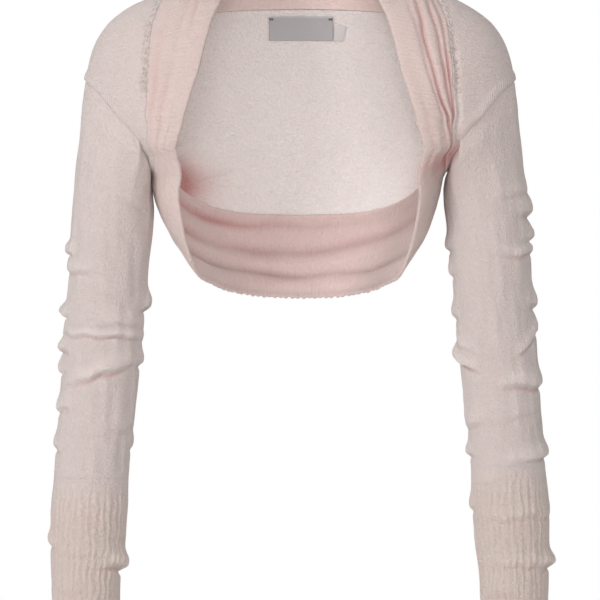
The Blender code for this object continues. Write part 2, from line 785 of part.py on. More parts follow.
def main():
    clear_scene()
    build_back_panel()
    build_front_panel("front_panel_left", mirror=False)
    build_front_panel("front_panel_right", mirror=True)
    build_band("band_neck", NECK_ROWS, NECK_VALLEYS, whole=True)
    build_band("band_front_left", FRONT_ROWS, FRONT_LEFT_VALLEYS, mirror=False)
    build_band("band_front_right", FRONT_ROWS, FRONT_RIGHT_VALLEYS, mirror=True)
    build_band("band_hem", HEM_ROWS, HEM_VALLEYS, whole=True)
    for side in ("left", "right"):
        build_sleeve(side)
        build_cuff(side)
    build_label()
    build_size_tab()


main()
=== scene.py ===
"""Knitted bolero: dresses the plain solids of the part with knit, rib, folds, seams and labels.

Sizes are in millimetres and MM turns them to metres. A place on the body is a turn in
degrees, 0 at the middle of the front and 180 at the middle of the back, and a height.
Height 0 is where the neck meets the shoulder. Left and right are the wearer's.
"""

import math

import bpy
import numpy as np
from bpy.props import FloatProperty, FloatVectorProperty, PointerProperty
from mathutils import Euler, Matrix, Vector


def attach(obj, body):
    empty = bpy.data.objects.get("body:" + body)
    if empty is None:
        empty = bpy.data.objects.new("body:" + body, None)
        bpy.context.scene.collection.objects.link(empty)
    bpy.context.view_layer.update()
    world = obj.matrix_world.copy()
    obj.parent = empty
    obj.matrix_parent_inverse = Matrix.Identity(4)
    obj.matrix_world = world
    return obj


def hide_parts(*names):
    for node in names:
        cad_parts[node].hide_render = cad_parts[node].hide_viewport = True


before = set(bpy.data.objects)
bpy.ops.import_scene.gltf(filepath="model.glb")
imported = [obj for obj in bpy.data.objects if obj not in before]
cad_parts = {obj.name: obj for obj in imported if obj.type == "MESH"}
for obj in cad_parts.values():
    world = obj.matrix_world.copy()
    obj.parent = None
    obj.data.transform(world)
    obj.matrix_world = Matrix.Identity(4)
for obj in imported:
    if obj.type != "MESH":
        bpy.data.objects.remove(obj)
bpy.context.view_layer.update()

bl_info = {
    "name": "Knitted Bolero",
    "version": (1, 0, 0),
    "blender": (4, 5, 0),
    "location": "View3D > Sidebar > Bolero",
    "description": "Dresses the solids of a knitted bolero with knit, rib, folds and seams",
    "category": "Object",
}

MM = 0.001


def table(names, *rows):
    """A short table as a dict of named columns."""
    return dict(zip(names.split(), np.array(rows, float).T))


# general torso form, each section a squared ellipse
SECTION_POWER = 2.3
FORM = table(
    "height half_width front back middle_y",
    (-335, 90, 62, 86, 0),
    (-313, 100, 70, 88, 0),
    (-290, 114, 82, 92, 0),
    (-260, 130, 92, 95, 0),
    (-230, 139.5, 98, 97, 0),
    (-213, 143, 100, 98, 0),
    (-204, 149, 101, 99, 0),
    (-192, 166, 102, 100, 0),
    (-184, 185, 102, 101, 0),
    (-170, 204, 101, 101, 0),
    (-150, 217, 98, 100, 0),
    (-113, 214, 90, 95, 0),
    (-85, 207, 82, 88, 0),
    (-60, 193, 72, 80, 0),
    (-45, 175, 64, 72, 0),
    (-35, 156, 58, 66, 2),
    (-25, 130, 53, 62, 4),
    (-15, 100, 52, 60, 5),
    (0, 66, 52, 56, 8),
    (14, 58, 50, 52, 10),
)

# the band from its seam to its free edge, in the order that it runs round the opening
NECK_BAND = table(
    "seam_turn seam_height edge_turn edge_height",
    (180, -38, 180, 12),
    (165, -39, 163, 12),
    (150, -41.5, 146, 11),
    (135, -41, 128, 9),
    (118, -36, 110, 6),
    (103, -29.5, 94, 2),
    (90, -25.5, 80, -2),
)
HEM_BAND = table(
    "seam_turn seam_height edge_turn edge_height",
    (90, -213, 75, -297),
    (108, -217.5, 96, -313),
    (121, -223, 115, -319),
    (130, -233, 128, -324.5),
    (143, -243.5, 142, -328),
    (160, -249.5, 160, -331),
    (180, -251, 180, -332),
)

# each row of the front runs across it: band seam, band free edge, and armhole
FRONT = table(
    "seam_turn seam_height edge_turn edge_height armhole_turn armhole_height",
    (90, -25.5, 80, -2, 90, -114),
    (72, -27, 60, -6, 86, -115),
    (59, -35, 42, -15, 81, -117),
    (50, -48, 31, -27, 75, -120.5),
    (46, -64, 25, -44, 69, -125),
    (43.5, -84, 24, -70, 63.5, -132),
    (42.3, -110, 24.6, -100, 58, -142),
    (41.8, -135, 26.6, -128, 53.5, -154),
    (42.5, -158, 29.5, -158, 51, -166),
    (45.5, -171, 36, -179, 51, -175),
    (52, -184, 48, -198, 54.5, -182),
    (63, -197, 56, -226, 63, -191),
    (76, -207, 62, -262, 76, -199),
    (90, -213, 75, -297, 90, -204),
)
SHOULDER = table("turn height", (90, -25.5), (90, -50), (90, -80), (90, -114))
SIDE_POINT = (90, -213)

# heights down the middle of the back, and the share of the side's steps that each ends
BACK_MIDDLE = table("share height", (0, -38), (6 / 17, -74), (16 / 17, -234), (1, -251))

# how much further the cloth stands out on the wearer's right, under the armhole
FLANK = table(
    "height swell",
    (-318, 0),
    (-305, 2.2),
    (-290, 2.8),
    (-265, 4),
    (-250, 5),
    (-235, 6.4),
    (-222, 6),
    (-213, 4.6),
    (-206, 1.8),
    (-198, 0),
)

# the sleeve below the armhole: outer and inner line seen from the front, and depths
SLEEVE = table(
    "outer_height outer_x inner_height inner_x front back middle_y",
    (-114, 214, -204, 149, 66, 66, 4),
    (-138, 217, -214, 145, 65, 62, 4),
    (-165, 219.5, -226, 143.4, 59, 57, 4),
    (-195, 223, -240, 144, 53, 52, 4),
    (-225, 226, -256, 146.2, 49, 48, 4),
    (-255, 228.5, -274, 148.2, 46, 46, 4),
    (-290, 230.5, -298, 151, 44, 44, 5),
    (-325, 232.5, -327, 153.5, 42, 42, 5),
    (-360, 235.5, -360, 156.5, 41, 41, 4),
    (-395, 238, -395, 160, 40, 40, 2),
    (-430, 239.5, -430, 163, 39, 39, -2),
    (-465, 242, -465, 167.5, 38, 38, -6),
    (-500, 244.5, -500, 170.5, 37, 36, -11),
)
CUFF = table(
    "height outer_x inner_x front back middle_y",
    (-500, 244.5, 170.5, 37, 36, -11),
    (-535, 247, 172, 36, 35, -15),
    (-565, 247.5, 174, 35, 34, -18),
    (-600, 247, 178.5, 33, 32, -22),
    (-635, 246, 180.5, 31, 31, -25),
    (-675, 245.5, 182.5, 30, 30, -28),
)
SLEEVE_TOP = -114
CUFF_START = {"right": -512, "left": -500}
CUFF_END = -675
# how far down the armhole's own outline still shapes the sleeve
ARMHOLE_BLEND = 110
# the last row of cloth before a cut edge
EDGE_ROW = 0.3
# the sleeve's first rows go under the body's cloth and a little way back up
SLEEVE_TUCK = table("under back", (0.9, 1.2), (0.6, 0), (0.3, 0))
MIRROR = np.array([-1.0, 1.0, 1.0])
# what sets one side's uneven swells apart from the other's
SEED = {"left": 1, "right": 2}

# the raised welt of the armhole's lapped seam, with its slanting stitches
WELT_WIDTH = 7
WELT_HEIGHT = 1.7
WELT_PITCH = 4.4
# where the welt fades out on the back, at the shoulder and below the armhole
WELT_END = {"top": -106, "top_fade": 14, "bottom": -206, "bottom_fade": 8}
# where the openwork seam beside the band fades out, down the front
OPENWORK_END = {"height": -145, "fade": 25}
# the groove in the wearer's left front, beside the band
GROOVE = {"depth": 2.2, "place": 5, "reach": 3, "top": -60, "fade": 20}

# folds round each sleeve: turn 0 is its outer line, 90 its front, 180 its inner line
FOLD_NAMES = "height drop turn half_turn relief half_width"
SLEEVE_FOLDS = {
    "right": table(
        FOLD_NAMES,
        (-283, 0.04, 0, 50, 5.0, 6),
        (-301.5, 0.02, 30, 80, 3.2, 6.5),
        (-344, 0.04, 350, 50, 7.5, 6),
        (-337, 0.04, 182, 50, 6.0, 9),
        (-352, 0.04, 115, 75, 3.2, 8),
        (-367.5, 0.03, 95, 125, 5.2, 4.6),
        (-381, 0.02, 5, 45, 5.0, 6),
        (-402, -0.2, 95, 85, 5.6, 8),
        (-392, 0.06, 180, 45, 4.0, 8),
        (-402, 0.0, 0, 38, 3.8, 6),
        (-438, 0.0, 14, 66, 3.2, 7.5),
        (-475, 0.03, 0, 55, 3.2, 8),
        (-456, -0.08, 142, 66, 1.5, 9),
        (-322, 0.1, 95, 50, 1.2, 10),
        (-232, 0.3, 120, 45, 1.8, 10),
        (-300, 0.08, 265, 65, 4.0, 9),
        (-345, -0.08, 255, 70, 4.5, 9),
        (-388, 0.1, 270, 70, 5.0, 9),
        (-428, -0.06, 260, 60, 3.6, 9),
        (-476, 0.05, 200, 60, 2.6, 8),
    ),
    "left": table(
        FOLD_NAMES,
        (-224, 0.1, 35, 60, 2.4, 7),
        (-242, 0.02, 5, 58, 5.2, 8.5),
        (-268, 0.04, 0, 55, 5.0, 7),
        (-284, 0.03, 35, 78, 4.2, 6),
        (-279, 0.05, 182, 42, 3.2, 7),
        (-304, 0.05, 182, 40, 2.8, 7),
        (-334, 0.0, 0, 55, 4.2, 9),
        (-345, 0.06, 182, 40, 3.4, 8),
        (-360, 0.03, 0, 40, 2.6, 7),
        (-372, 0.48, 36, 42, 4.0, 7),
        (-376, -0.25, 150, 45, 3.0, 8),
        (-391, -0.25, 166, 60, 8.0, 6.5),
        (-413, 0.02, 42, 82, 5.5, 8.5),
        (-441, 0.1, 60, 60, 1.8, 9),
        (-487, 0.10, 35, 85, 6.0, 7.5),
        (-452, 0.06, 150, 55, 2.8, 8),
        (-484, 0.05, 182, 40, 4.0, 7),
        (-260, 0.08, 262, 65, 3.6, 9),
        (-312, -0.08, 268, 65, 4.0, 9),
        (-364, 0.1, 258, 70, 5.0, 9),
        (-408, -0.08, 270, 65, 4.6, 9),
        (-448, 0.08, 262, 60, 3.6, 9),
    ),
}
CUFF_FOLDS = {
    "right": table(
        FOLD_NAMES,
        (-572, 0.02, 0, 45, 3.2, 6.5),
        (-594, 0.03, 172, 82, 7.0, 8),
        (-582, 0.0, 100, 60, 1.4, 7),
        (-556, 0.05, 262, 60, 3.0, 9),
        (-615, 0.0, 60, 50, 1.6, 9),
    ),
    "left": table(
        FOLD_NAMES,
        (-511, 0.04, 130, 45, 1.8, 5),
        (-545, 0.03, 70, 110, 2.4, 6.5),
        (-537, 0.05, 182, 45, 3.0, 7),
        (-592, 0.02, 60, 120, 2.8, 6.5),
        (-594, 0.05, 8, 48, 5.5, 7),
        (-528, -0.05, 265, 60, 3.0, 9),
        (-618, 0.0, 110, 55, 1.6, 9),
    ),
}
BACK_FOLDS = table(
    FOLD_NAMES,
    (-200, -0.5, 138, 32, 1.2, 9),
    (-168, -0.7, 140, 30, 1.0, 9),
    (-206, 0.5, 222, 34, 4.0, 9),
    (-174, 0.7, 224, 30, 2.8, 9),
    (-228, 0.0, 180, 60, 1.8, 9),
)
# the crease under each fold: its depth, place and reach as shares of the fold's own
CREASE_DEPTH = 0.5
CREASE_PLACE = 1.2
CREASE_REACH = 0.36

# valleys that run along the band: where each lies across it, seam 0 to free edge 1, how deep
# it is and how pink its painted shade is, at stations along the stretch from the neck or, for the
# hem, from the wearer's left; half_width is a share of the band's width, dim is how grey its
# painted shade is, a negative tint is painted light, and a negative depth is a ridge on the
# outside and a hollow on the inside
STATIONS = (0, 0.18, 0.34, 0.5, 0.64, 1)
NECK_VALLEYS = (
    {"places": (0.42, 0.43, 0.44, 0.45, 0.44, 0.42), "depths": (0.8, 0.8, 0.8, 0.8, 0.8, 0.8),
     "tints": (0, 0, 0, 0, 0, 0), "half_width": 0.12, "dim": 0},
)
FRONT_LEFT_VALLEYS = (
    {"places": (0.62, 0.60, 0.58, 0.46, 0.30, 0.26), "depths": (0.5, 1.5, 1.6, 1.6, 1.2, 0),
     "tints": (0.1, 0.15, 0.15, 0.2, 0.1, 0), "half_width": 0.04, "dim": 0},
    {"places": (0.46, 0.46, 0.48, 0.34, 0.10, 0.02), "depths": (3.0, 5.5, 6.0, 6.0, 3.5, 0),
     "tints": (0.3, 0.4, 0.5, 0.7, 0.3, 0), "half_width": 0.04, "dim": 0},
    {"places": (0.27, 0.26, 0.24, 0.13, 0.05, 0), "depths": (2.5, 4.0, 4.0, 4.0, 1.0, 0),
     "tints": (0.3, 0.4, 0.4, 0.6, 0.3, 0), "half_width": 0.035, "dim": 0},
    {"places": (0.13, 0.13, 0.11, 0.05, 0, 0), "depths": (1.5, 2.5, 3.0, 4.5, 1.0, 0),
     "tints": (0.1, 0.2, 0.4, 0.9, 0.4, 0), "half_width": 0.035, "dim": 0},
    {"places": (0.80, 0.80, 0.80, 0.78, 0.72, 0.70), "depths": (0.4, 0.4, 0.5, 0.8, 1.2, -2.4),
     "tints": (0, 0, 0, 0.1, 0.1, 0.1), "half_width": 0.09, "dim": 0},
    {"places": (0.36, 0.36, 0.36, 0.40, 0.40, 0.30), "depths": (0, 0, 0, 0, 1.4, -2.4),
     "tints": (0, 0, 0, 0, 0.1, 0.1), "half_width": 0.09, "dim": 0},
)
FRONT_RIGHT_VALLEYS = (
    {"places": (0.55, 0.55, 0.54, 0.47, 0.45, 0.42), "depths": (1.5, 1.9, 1.0, 1.5, 1.6, -2.0),
     "tints": (0.1, 0.1, 0, 0.1, 0.1, 0.1), "half_width": 0.08, "dim": 0},
    {"places": (0.68, 0.69, 0.72, 0.74, 0.72, 0.68), "depths": (1.6, 1.9, 0.5, 0.2, 0.6, -2.4),
     "tints": (0.3, 0.3, 0, 0, 0, 0.1), "half_width": 0.04, "dim": 0},
    {"places": (0.30, 0.30, 0.22, 0.20, 0.18, 0.16), "depths": (0.5, 0.6, 0.8, 1.0, 0.8, -2.4),
     "tints": (0, 0, 0.1, 0.2, 0.1, 0.1), "half_width": 0.08, "dim": 0},
)
HEM_VALLEYS = (
    {"places": (0.30, 0.30, 0.36, 0.45, 0.44, 0.42), "depths": (-2.4, -3.4, -3.6, -3.6, -3.2, -2.0),
     "tints": (0.05, 0.15, 0.18, 0.18, 0.28, 0.4), "half_width": 0.06, "dim": 0.1},
    {"places": (0.70, 0.70, 0.72, 0.74, 0.71, 0.68), "depths": (-2.4, -3.2, -3.6, -3.6, -3.0, -2.4),
     "tints": (0, 0.08, 0.14, 0.18, 0.18, 0.15), "half_width": 0.04, "dim": 0.15},
    {"places": (0.10, 0.10, 0.10, 0.11, 0.13, 0.16), "depths": (0, 0, 0, -1.4, -3.4, -2.4),
     "tints": (0, 0, 0, 0.12, 0.6, 0.7), "half_width": 0.05, "dim": 0.05},
    {"places": (0.50, 0.50, 0.54, 0.60, 0.58, 0.56), "depths": (1.5, 2.6, 2.2, 2.2, 3.0, 1.5),
     "tints": (0, -0.1, -0.1, -0.1, -0.1, 0), "half_width": 0.07, "dim": 0},
    {"places": (0.86, 0.86, 0.87, 0.88, 0.86, 0.84), "depths": (0.5, 2.0, 2.4, 2.6, 2.2, 0.5),
     "tints": (-0.1, -0.3, -0.35, -0.35, -0.3, -0.1), "half_width": 0.09, "dim": 0},
)
BAND_CROWN = 3.4
CUFF_RIBS = 32

# soft spots: where the middle of each lies, how far it reaches and how strong it is. Turns are
# round the body or, for a sleeve, round the sleeve. Puffs are in millimetres and the rest are
# shares; a shade is pink and a dimming is grey.
SPOT_NAMES = "turn turn_reach height height_reach strength"
ARMPIT_PUFF = table(SPOT_NAMES, (68, 15, -200, 13, 5.0))
ARMPIT_SHADE = table(
    SPOT_NAMES,
    (84, 17, -222, 28, 0.12),
    (62, 11, -190, 17, 0.9),
)
ARMPIT_DIMMING = table(
    SPOT_NAMES,
    (78, 20, -225, 40, 0.3),
    (36, 13, -160, 26, 0.07),
    (62, 10, -190, 16, 0.3),
)
POCKET_SHADE = table(SPOT_NAMES, (239, 18, -214, 30, 1.1))
# shade inside the body towards its sides, narrow in turn and strongest below the armholes
SIDE_SHADE = {"strength": 0.55, "narrow": 0.2, "height": -185, "reach": 50}
# shade in a fold's crease and light on its crest, with the relief at which each is full
CREASE_SHADE = {"creases": 0.35, "creases_full": 2.4, "crests": -0.6, "crests_full": 5}
SLEEVE_PUFF = {
    "right": table(SPOT_NAMES, (158, 22, -192, 16, 2.5), (180, 45, -226, 20, -4.6)),
    "left": table(SPOT_NAMES, (158, 22, -192, 16, 2.5)),
}
SLEEVE_SHADE = {
    "right": table(SPOT_NAMES, (185, 50, -205, 40, 0.3)),
    "left": table(SPOT_NAMES, (185, 50, -205, 40, 0.3), (165, 22, -192, 24, 0.7)),
}
# painted grey shade on the lower band's inner face towards each side, and the dimming of the back's outer
# face, which takes the back's painted-light paleness back to the knit's tone
HEM_DIMMING = table("turn reach strength", (126, 22, 0.22), (225, 16, 0.06))
BACK_OUTER_DIMMING = 0.26
# turn on either side where the band lies flattest, below the armholes, and the reach of that
BAND_SIDE = {"turn": 88, "reach": 26}

# neck label and size tab, on the inner face of the back
LABEL = {"half_width": 32.5, "top": -46.5, "bottom": -70.5, "middle_x": 1}
SIZE_TAB = {"left": 34.5, "right": 47, "top": -56, "bottom": -71, "slant": 3}
LABEL_WALL = 0.6
TAB_WALL = 0.5
LABEL_GAP = 1.0
# stitches at the label's upper corners; each lies level but for its lean in degrees
STITCH = {"radius": 0.35, "length": 4.2, "inset": 2.4, "drop": 2.0, "rise": 1.2}
STITCH_LEANS = (35, -35, 5)

# lights and camera: places, aims, sizes and radii in metres, spreads in degrees and the
# camera's sensor in millimetres
KEY_LIGHT = {"place": (-2.4, -2.6, 0.7), "aim": (0, 0, -0.3), "size": 1.2}
FRONT_FILL = {"place": (0.3, -3.6, 0.5), "aim": (0, 0, -0.25), "size": 1.6}
INSIDE_LIGHT = {"place": (0.1, -3.0, -0.13), "aim": (0.01, 0.1, -0.14), "spread": 6.6, "blend": 0.7,
                "radius": 0.15}
SENSOR_WIDTH = 36

# how finely the cloth is divided, in steps
BAND_COLUMNS = 46
SLEEVE_COLUMNS = 140
SLEEVE_ROWS = 236
# where the sleeve's upper part ends, and its share of the rows
SLEEVE_UPPER = {"end": -240, "share": 0.36}
CUFF_POINTS_PER_RIB = 8
CUFF_ROWS = 80
BACK_ROWS = 136
BACK_COLUMNS = 70
FRONT_PANEL_ROWS = 150
FRONT_PANEL_COLUMNS = 44

# millimetres of thread pattern all round a tube
SLEEVE_ROUND = 288.0
CUFF_ROUND = 230.0


def smooth(places, values, at):
    """A smooth reading between listed values that never swings past them."""
    order = np.argsort(places)
    places, values = np.asarray(places, float)[order], np.asarray(values, float)[order]
    at = np.asarray(at, float)
    widths = np.diff(places)
    slopes = np.diff(values) / widths
    bends = np.zeros(len(places))
    bends[0], bends[-1] = slopes[0], slopes[-1]
    weight_1, weight_2 = 2 * widths[1:] + widths[:-1], widths[1:] + 2 * widths[:-1]
    same_way = slopes[:-1] * slopes[1:] > 0
    before, after = slopes[:-1][same_way], slopes[1:][same_way]
    weight_1, weight_2 = weight_1[same_way], weight_2[same_way]
    bends[1:-1][same_way] = (weight_1 + weight_2) / (weight_1 / before + weight_2 / after)
    i = np.clip(np.searchsorted(places, at, side="right") - 1, 0, len(places) - 2)
    t = (at - places[i]) / widths[i]
    return ((2 * t**3 - 3 * t**2 + 1) * values[i]
            + (t**3 - 2 * t**2 + t) * widths[i] * bends[i]
            + (3 * t**2 - 2 * t**3) * values[i + 1]
            + (t**3 - t**2) * widths[i] * bends[i + 1])


def unit(vectors):
    """Vectors at length one."""
    return vectors / np.maximum(np.linalg.norm(vectors, axis=-1, keepdims=True), 1e-9)


def fade_in(share):
    """0 at a border, rising smoothly to 1 further in."""
    t = np.clip(share, 0, 1)
    return t * t * (3 - 2 * t)


def bell(offset, reach):
    """1 where the offset is 0, falling off softly over a reach."""
    return np.exp(-(offset / reach) ** 2)


def spots(rows, turn, height):
    """The sum of a table's soft spots at turns and heights."""
    total = 0
    for k, strength in enumerate(rows["strength"]):
        total = total + strength * bell(turn - rows["turn"][k], rows["turn_reach"][k]) * bell(
            height - rows["height"][k], rows["height_reach"][k])
    return total


def lengths(points):
    """Distance run along the first axis of a grid of points."""
    steps = np.linalg.norm(np.diff(points, axis=0), axis=-1)
    return np.concatenate([np.zeros((1,) + steps.shape[1:]), np.cumsum(steps, axis=0)])


def ripple(seed, a, b, size):
    """A gentle uneven swell between about -1 and 1 over two coordinates in millimetres."""
    rng = np.random.default_rng(seed)
    total = np.zeros(np.broadcast(a, b).shape)
    for _ in range(6):
        angle, phase = rng.uniform(0, 2 * math.pi, 2)
        wave = size * rng.uniform(0.7, 1.5)
        total = total + np.sin((a * math.cos(angle) + b * math.sin(angle)) * 2 * math.pi / wave + phase)
    return total / 3.2


def form_point(turn, height):
    """Points of the torso form at turns and heights."""
    turn, height = np.broadcast_arrays(np.asarray(turn, float), np.asarray(height, float))
    half_width, front, back, middle_y = (
        smooth(FORM["height"], FORM[name], height) for name in ("half_width", "front", "back", "middle_y"))
    sine, cosine = np.sin(np.radians(turn)), np.cos(np.radians(turn))
    flank = smooth(FLANK["height"], FLANK["swell"], np.clip(height, FLANK["height"][0], FLANK["height"][-1]))
    half_width = half_width + np.where(sine < 0, flank * sine ** 6, 0)
    power = 2 / SECTION_POWER
    across = half_width * np.sign(sine) * np.abs(sine) ** power
    depth = np.where(cosine > 0, front, back)
    return np.stack([across, middle_y - depth * np.sign(cosine) * np.abs(cosine) ** power, height], -1)


def form_normal(turn, height):
    """Outward directions of the torso form."""
    step_turn, step_height = 3.0, 4.0
    along = form_point(turn + step_turn, height) - form_point(turn - step_turn, height)
    up = form_point(turn, height + step_height) - form_point(turn, height - step_height)
    return unit(np.cross(along, up))


def even_rows(source, steps, lines):
    """A table read again at equal spacing along the mean of the lines that it describes."""
    reach = sum(lengths(form_point(source[line + "_turn"], source[line + "_height"])) for line in lines)
    at = np.linspace(0, reach[-1], steps + 1)
    return {name: smooth(reach, column, at) for name, column in source.items()}


def even_line(turn, height, steps):
    """One line of chart places at equal spacing."""
    rows = even_rows({"line_turn": turn, "line_height": height}, steps, ("line",))
    return rows["line_turn"], rows["line_height"]


def fold_relief(folds, turn, height):
    """How far a set of folds lifts the cloth at turns and heights."""
    total = np.zeros(np.broadcast(turn, height).shape)
    for k in range(len(folds["height"])):
        fold = {name: column[k] for name, column in folds.items()}
        offset = (turn - fold["turn"] + 180) % 360 - 180
        fade = np.cos(np.radians(90 * np.clip(offset / fold["half_turn"], -1, 1))) ** 2
        distance = (fold["height"] - fold["drop"] * offset - height) / fold["half_width"]
        total += fold["relief"] * fade * fold_profile(distance)
    return total


def fold_profile(distance):
    """Section of a fold going down: a full round top that drops into a narrow crease."""
    top = np.exp(-(np.minimum(distance, 0) / 1.2) ** 2) * np.exp(-(np.maximum(distance, 0) / 0.9) ** 4)
    return top - CREASE_DEPTH * np.exp(-((distance - CREASE_PLACE) / CREASE_REACH) ** 2)


def crease_shade(relief):
    """Shade that a fold's relief gives the cloth: deeper in creases and less than none on crests."""
    creases = CREASE_SHADE["creases"] * fade_in(-relief / CREASE_SHADE["creases_full"])
    return creases + CREASE_SHADE["crests"] * fade_in(relief / CREASE_SHADE["crests_full"])


def linear(code):
    """An sRGB hex colour as linear red, green, blue and alpha."""
    parts = [int(code[k:k + 2], 16) / 255 for k in (1, 3, 5)]
    return [c / 12.92 if c <= 0.04045 else ((c + 0.055) / 1.055) ** 2.4 for c in parts] + [1.0]


def add_node(tree, kind, feeds=(), **settings):
    """One node with its settings, and a value or a link for each named or numbered input."""
    node = tree.nodes.new("ShaderNode" + kind)
    for name, value in settings.items():
        setattr(node, name, value)
    for name, value in dict(feeds).items():
        if isinstance(value, bpy.types.NodeSocket):
            tree.links.new(value, node.inputs[name])
        else:
            node.inputs[name].default_value = value
    return node


def new_material(name):
    """An empty node material with its shader."""
    material = bpy.data.materials.new(name)
    material.use_nodes = True
    tree = material.node_tree
    return material, tree, tree.nodes["Principled BSDF"]


def add_cloth(name, outer, inner, across, along, material, ring=False, rim=0.0, **values):
    """Cloth between two grids of points in millimetres, with its threads' UV map.

    across and along are the threads' coordinates in millimetres. On a ring they have one
    column more than the points, so that the pattern meets itself at the join. Every border
    has a middle line pushed out by rim, which rounds it. Each extra value is a pair, outer
    and inner, that becomes an attribute.
    """
    rows, width = outer.shape[:2]
    steps = width if ring else width - 1
    i, j = np.meshgrid(np.arange(rows - 1), np.arange(steps), indexing="ij")
    i, j = i.ravel(), j.ravel()
    corners = [(i, j), (i, j + 1), (i + 1, j + 1), (i + 1, j)]
    face = np.stack([row * width + column % width for row, column in corners], -1)
    mark = np.stack([row * (steps + 1) + column for row, column in corners], -1)
    inside = rows * width
    faces, marks = [face, face[:, ::-1] + inside], [mark, mark[:, ::-1]]
    points = np.concatenate([outer.reshape(-1, 3), inner.reshape(-1, 3)])
    source = np.tile(np.arange(inside), 2)
    for row, column in border_loops(rows, width, ring):
        line, spot = row * width + column % width, row * (steps + 1) + column
        within = (np.clip(row, 1, rows - 2), column % width if ring else np.clip(column, 1, width - 2))
        way = outer[row, column % width] - outer[within] + inner[row, column % width] - inner[within]
        middle = (points[line] + points[line + inside]) / 2 + unit(way) * rim
        middles = np.append(np.arange(len(line) - 1), 0) + len(points)
        points = np.concatenate([points, middle[:-1]])
        source = np.concatenate([source, line[:-1]])
        for first, second in ((line, middles), (middles, line + inside)):
            faces.append(np.stack([first[1:], first[:-1], second[:-1], second[1:]], -1))
            marks.append(np.stack([spot[1:], spot[:-1], spot[:-1], spot[1:]], -1))
    faces, marks = np.concatenate(faces), np.concatenate(marks)
    mesh = bpy.data.meshes.new(name)
    mesh.from_pydata((points * MM).tolist(), [], faces.tolist())
    threads = np.stack([across.ravel(), along.ravel()], -1)[marks.ravel()]
    mesh.uv_layers.new(name="threads").data.foreach_set("uv", threads.astype(np.float32).ravel())
    for key, pair in values.items():
        both = np.concatenate([np.broadcast_to(value, (rows, width)).ravel() for value in pair])
        data = np.concatenate([both, both[source[2 * inside:]]]).astype(np.float32)
        mesh.attributes.new(key, "FLOAT", "POINT").data.foreach_set("value", data)
    mesh.materials.append(material)
    mesh.shade_smooth()
    cloth = bpy.data.objects.new(name, mesh)
    bpy.context.scene.collection.objects.link(cloth)
    return cloth


def border_loops(rows, width, ring):
    """Rows and columns of each closed border of a grid, each ending where it starts."""
    last, end = rows - 1, width - 1
    if ring:
        there, back = np.arange(width + 1), np.arange(width, -1, -1)
        return [(np.zeros_like(there), there), (np.full_like(back, last), back)]
    row = np.concatenate([np.zeros(width, int), np.arange(1, rows), np.full(end, last),
                          np.arange(last - 1, -1, -1)])
    column = np.concatenate([np.arange(width), np.full(last, end), np.arange(end - 1, -1, -1),
                             np.zeros(last, int)])
    return [(row, column)]


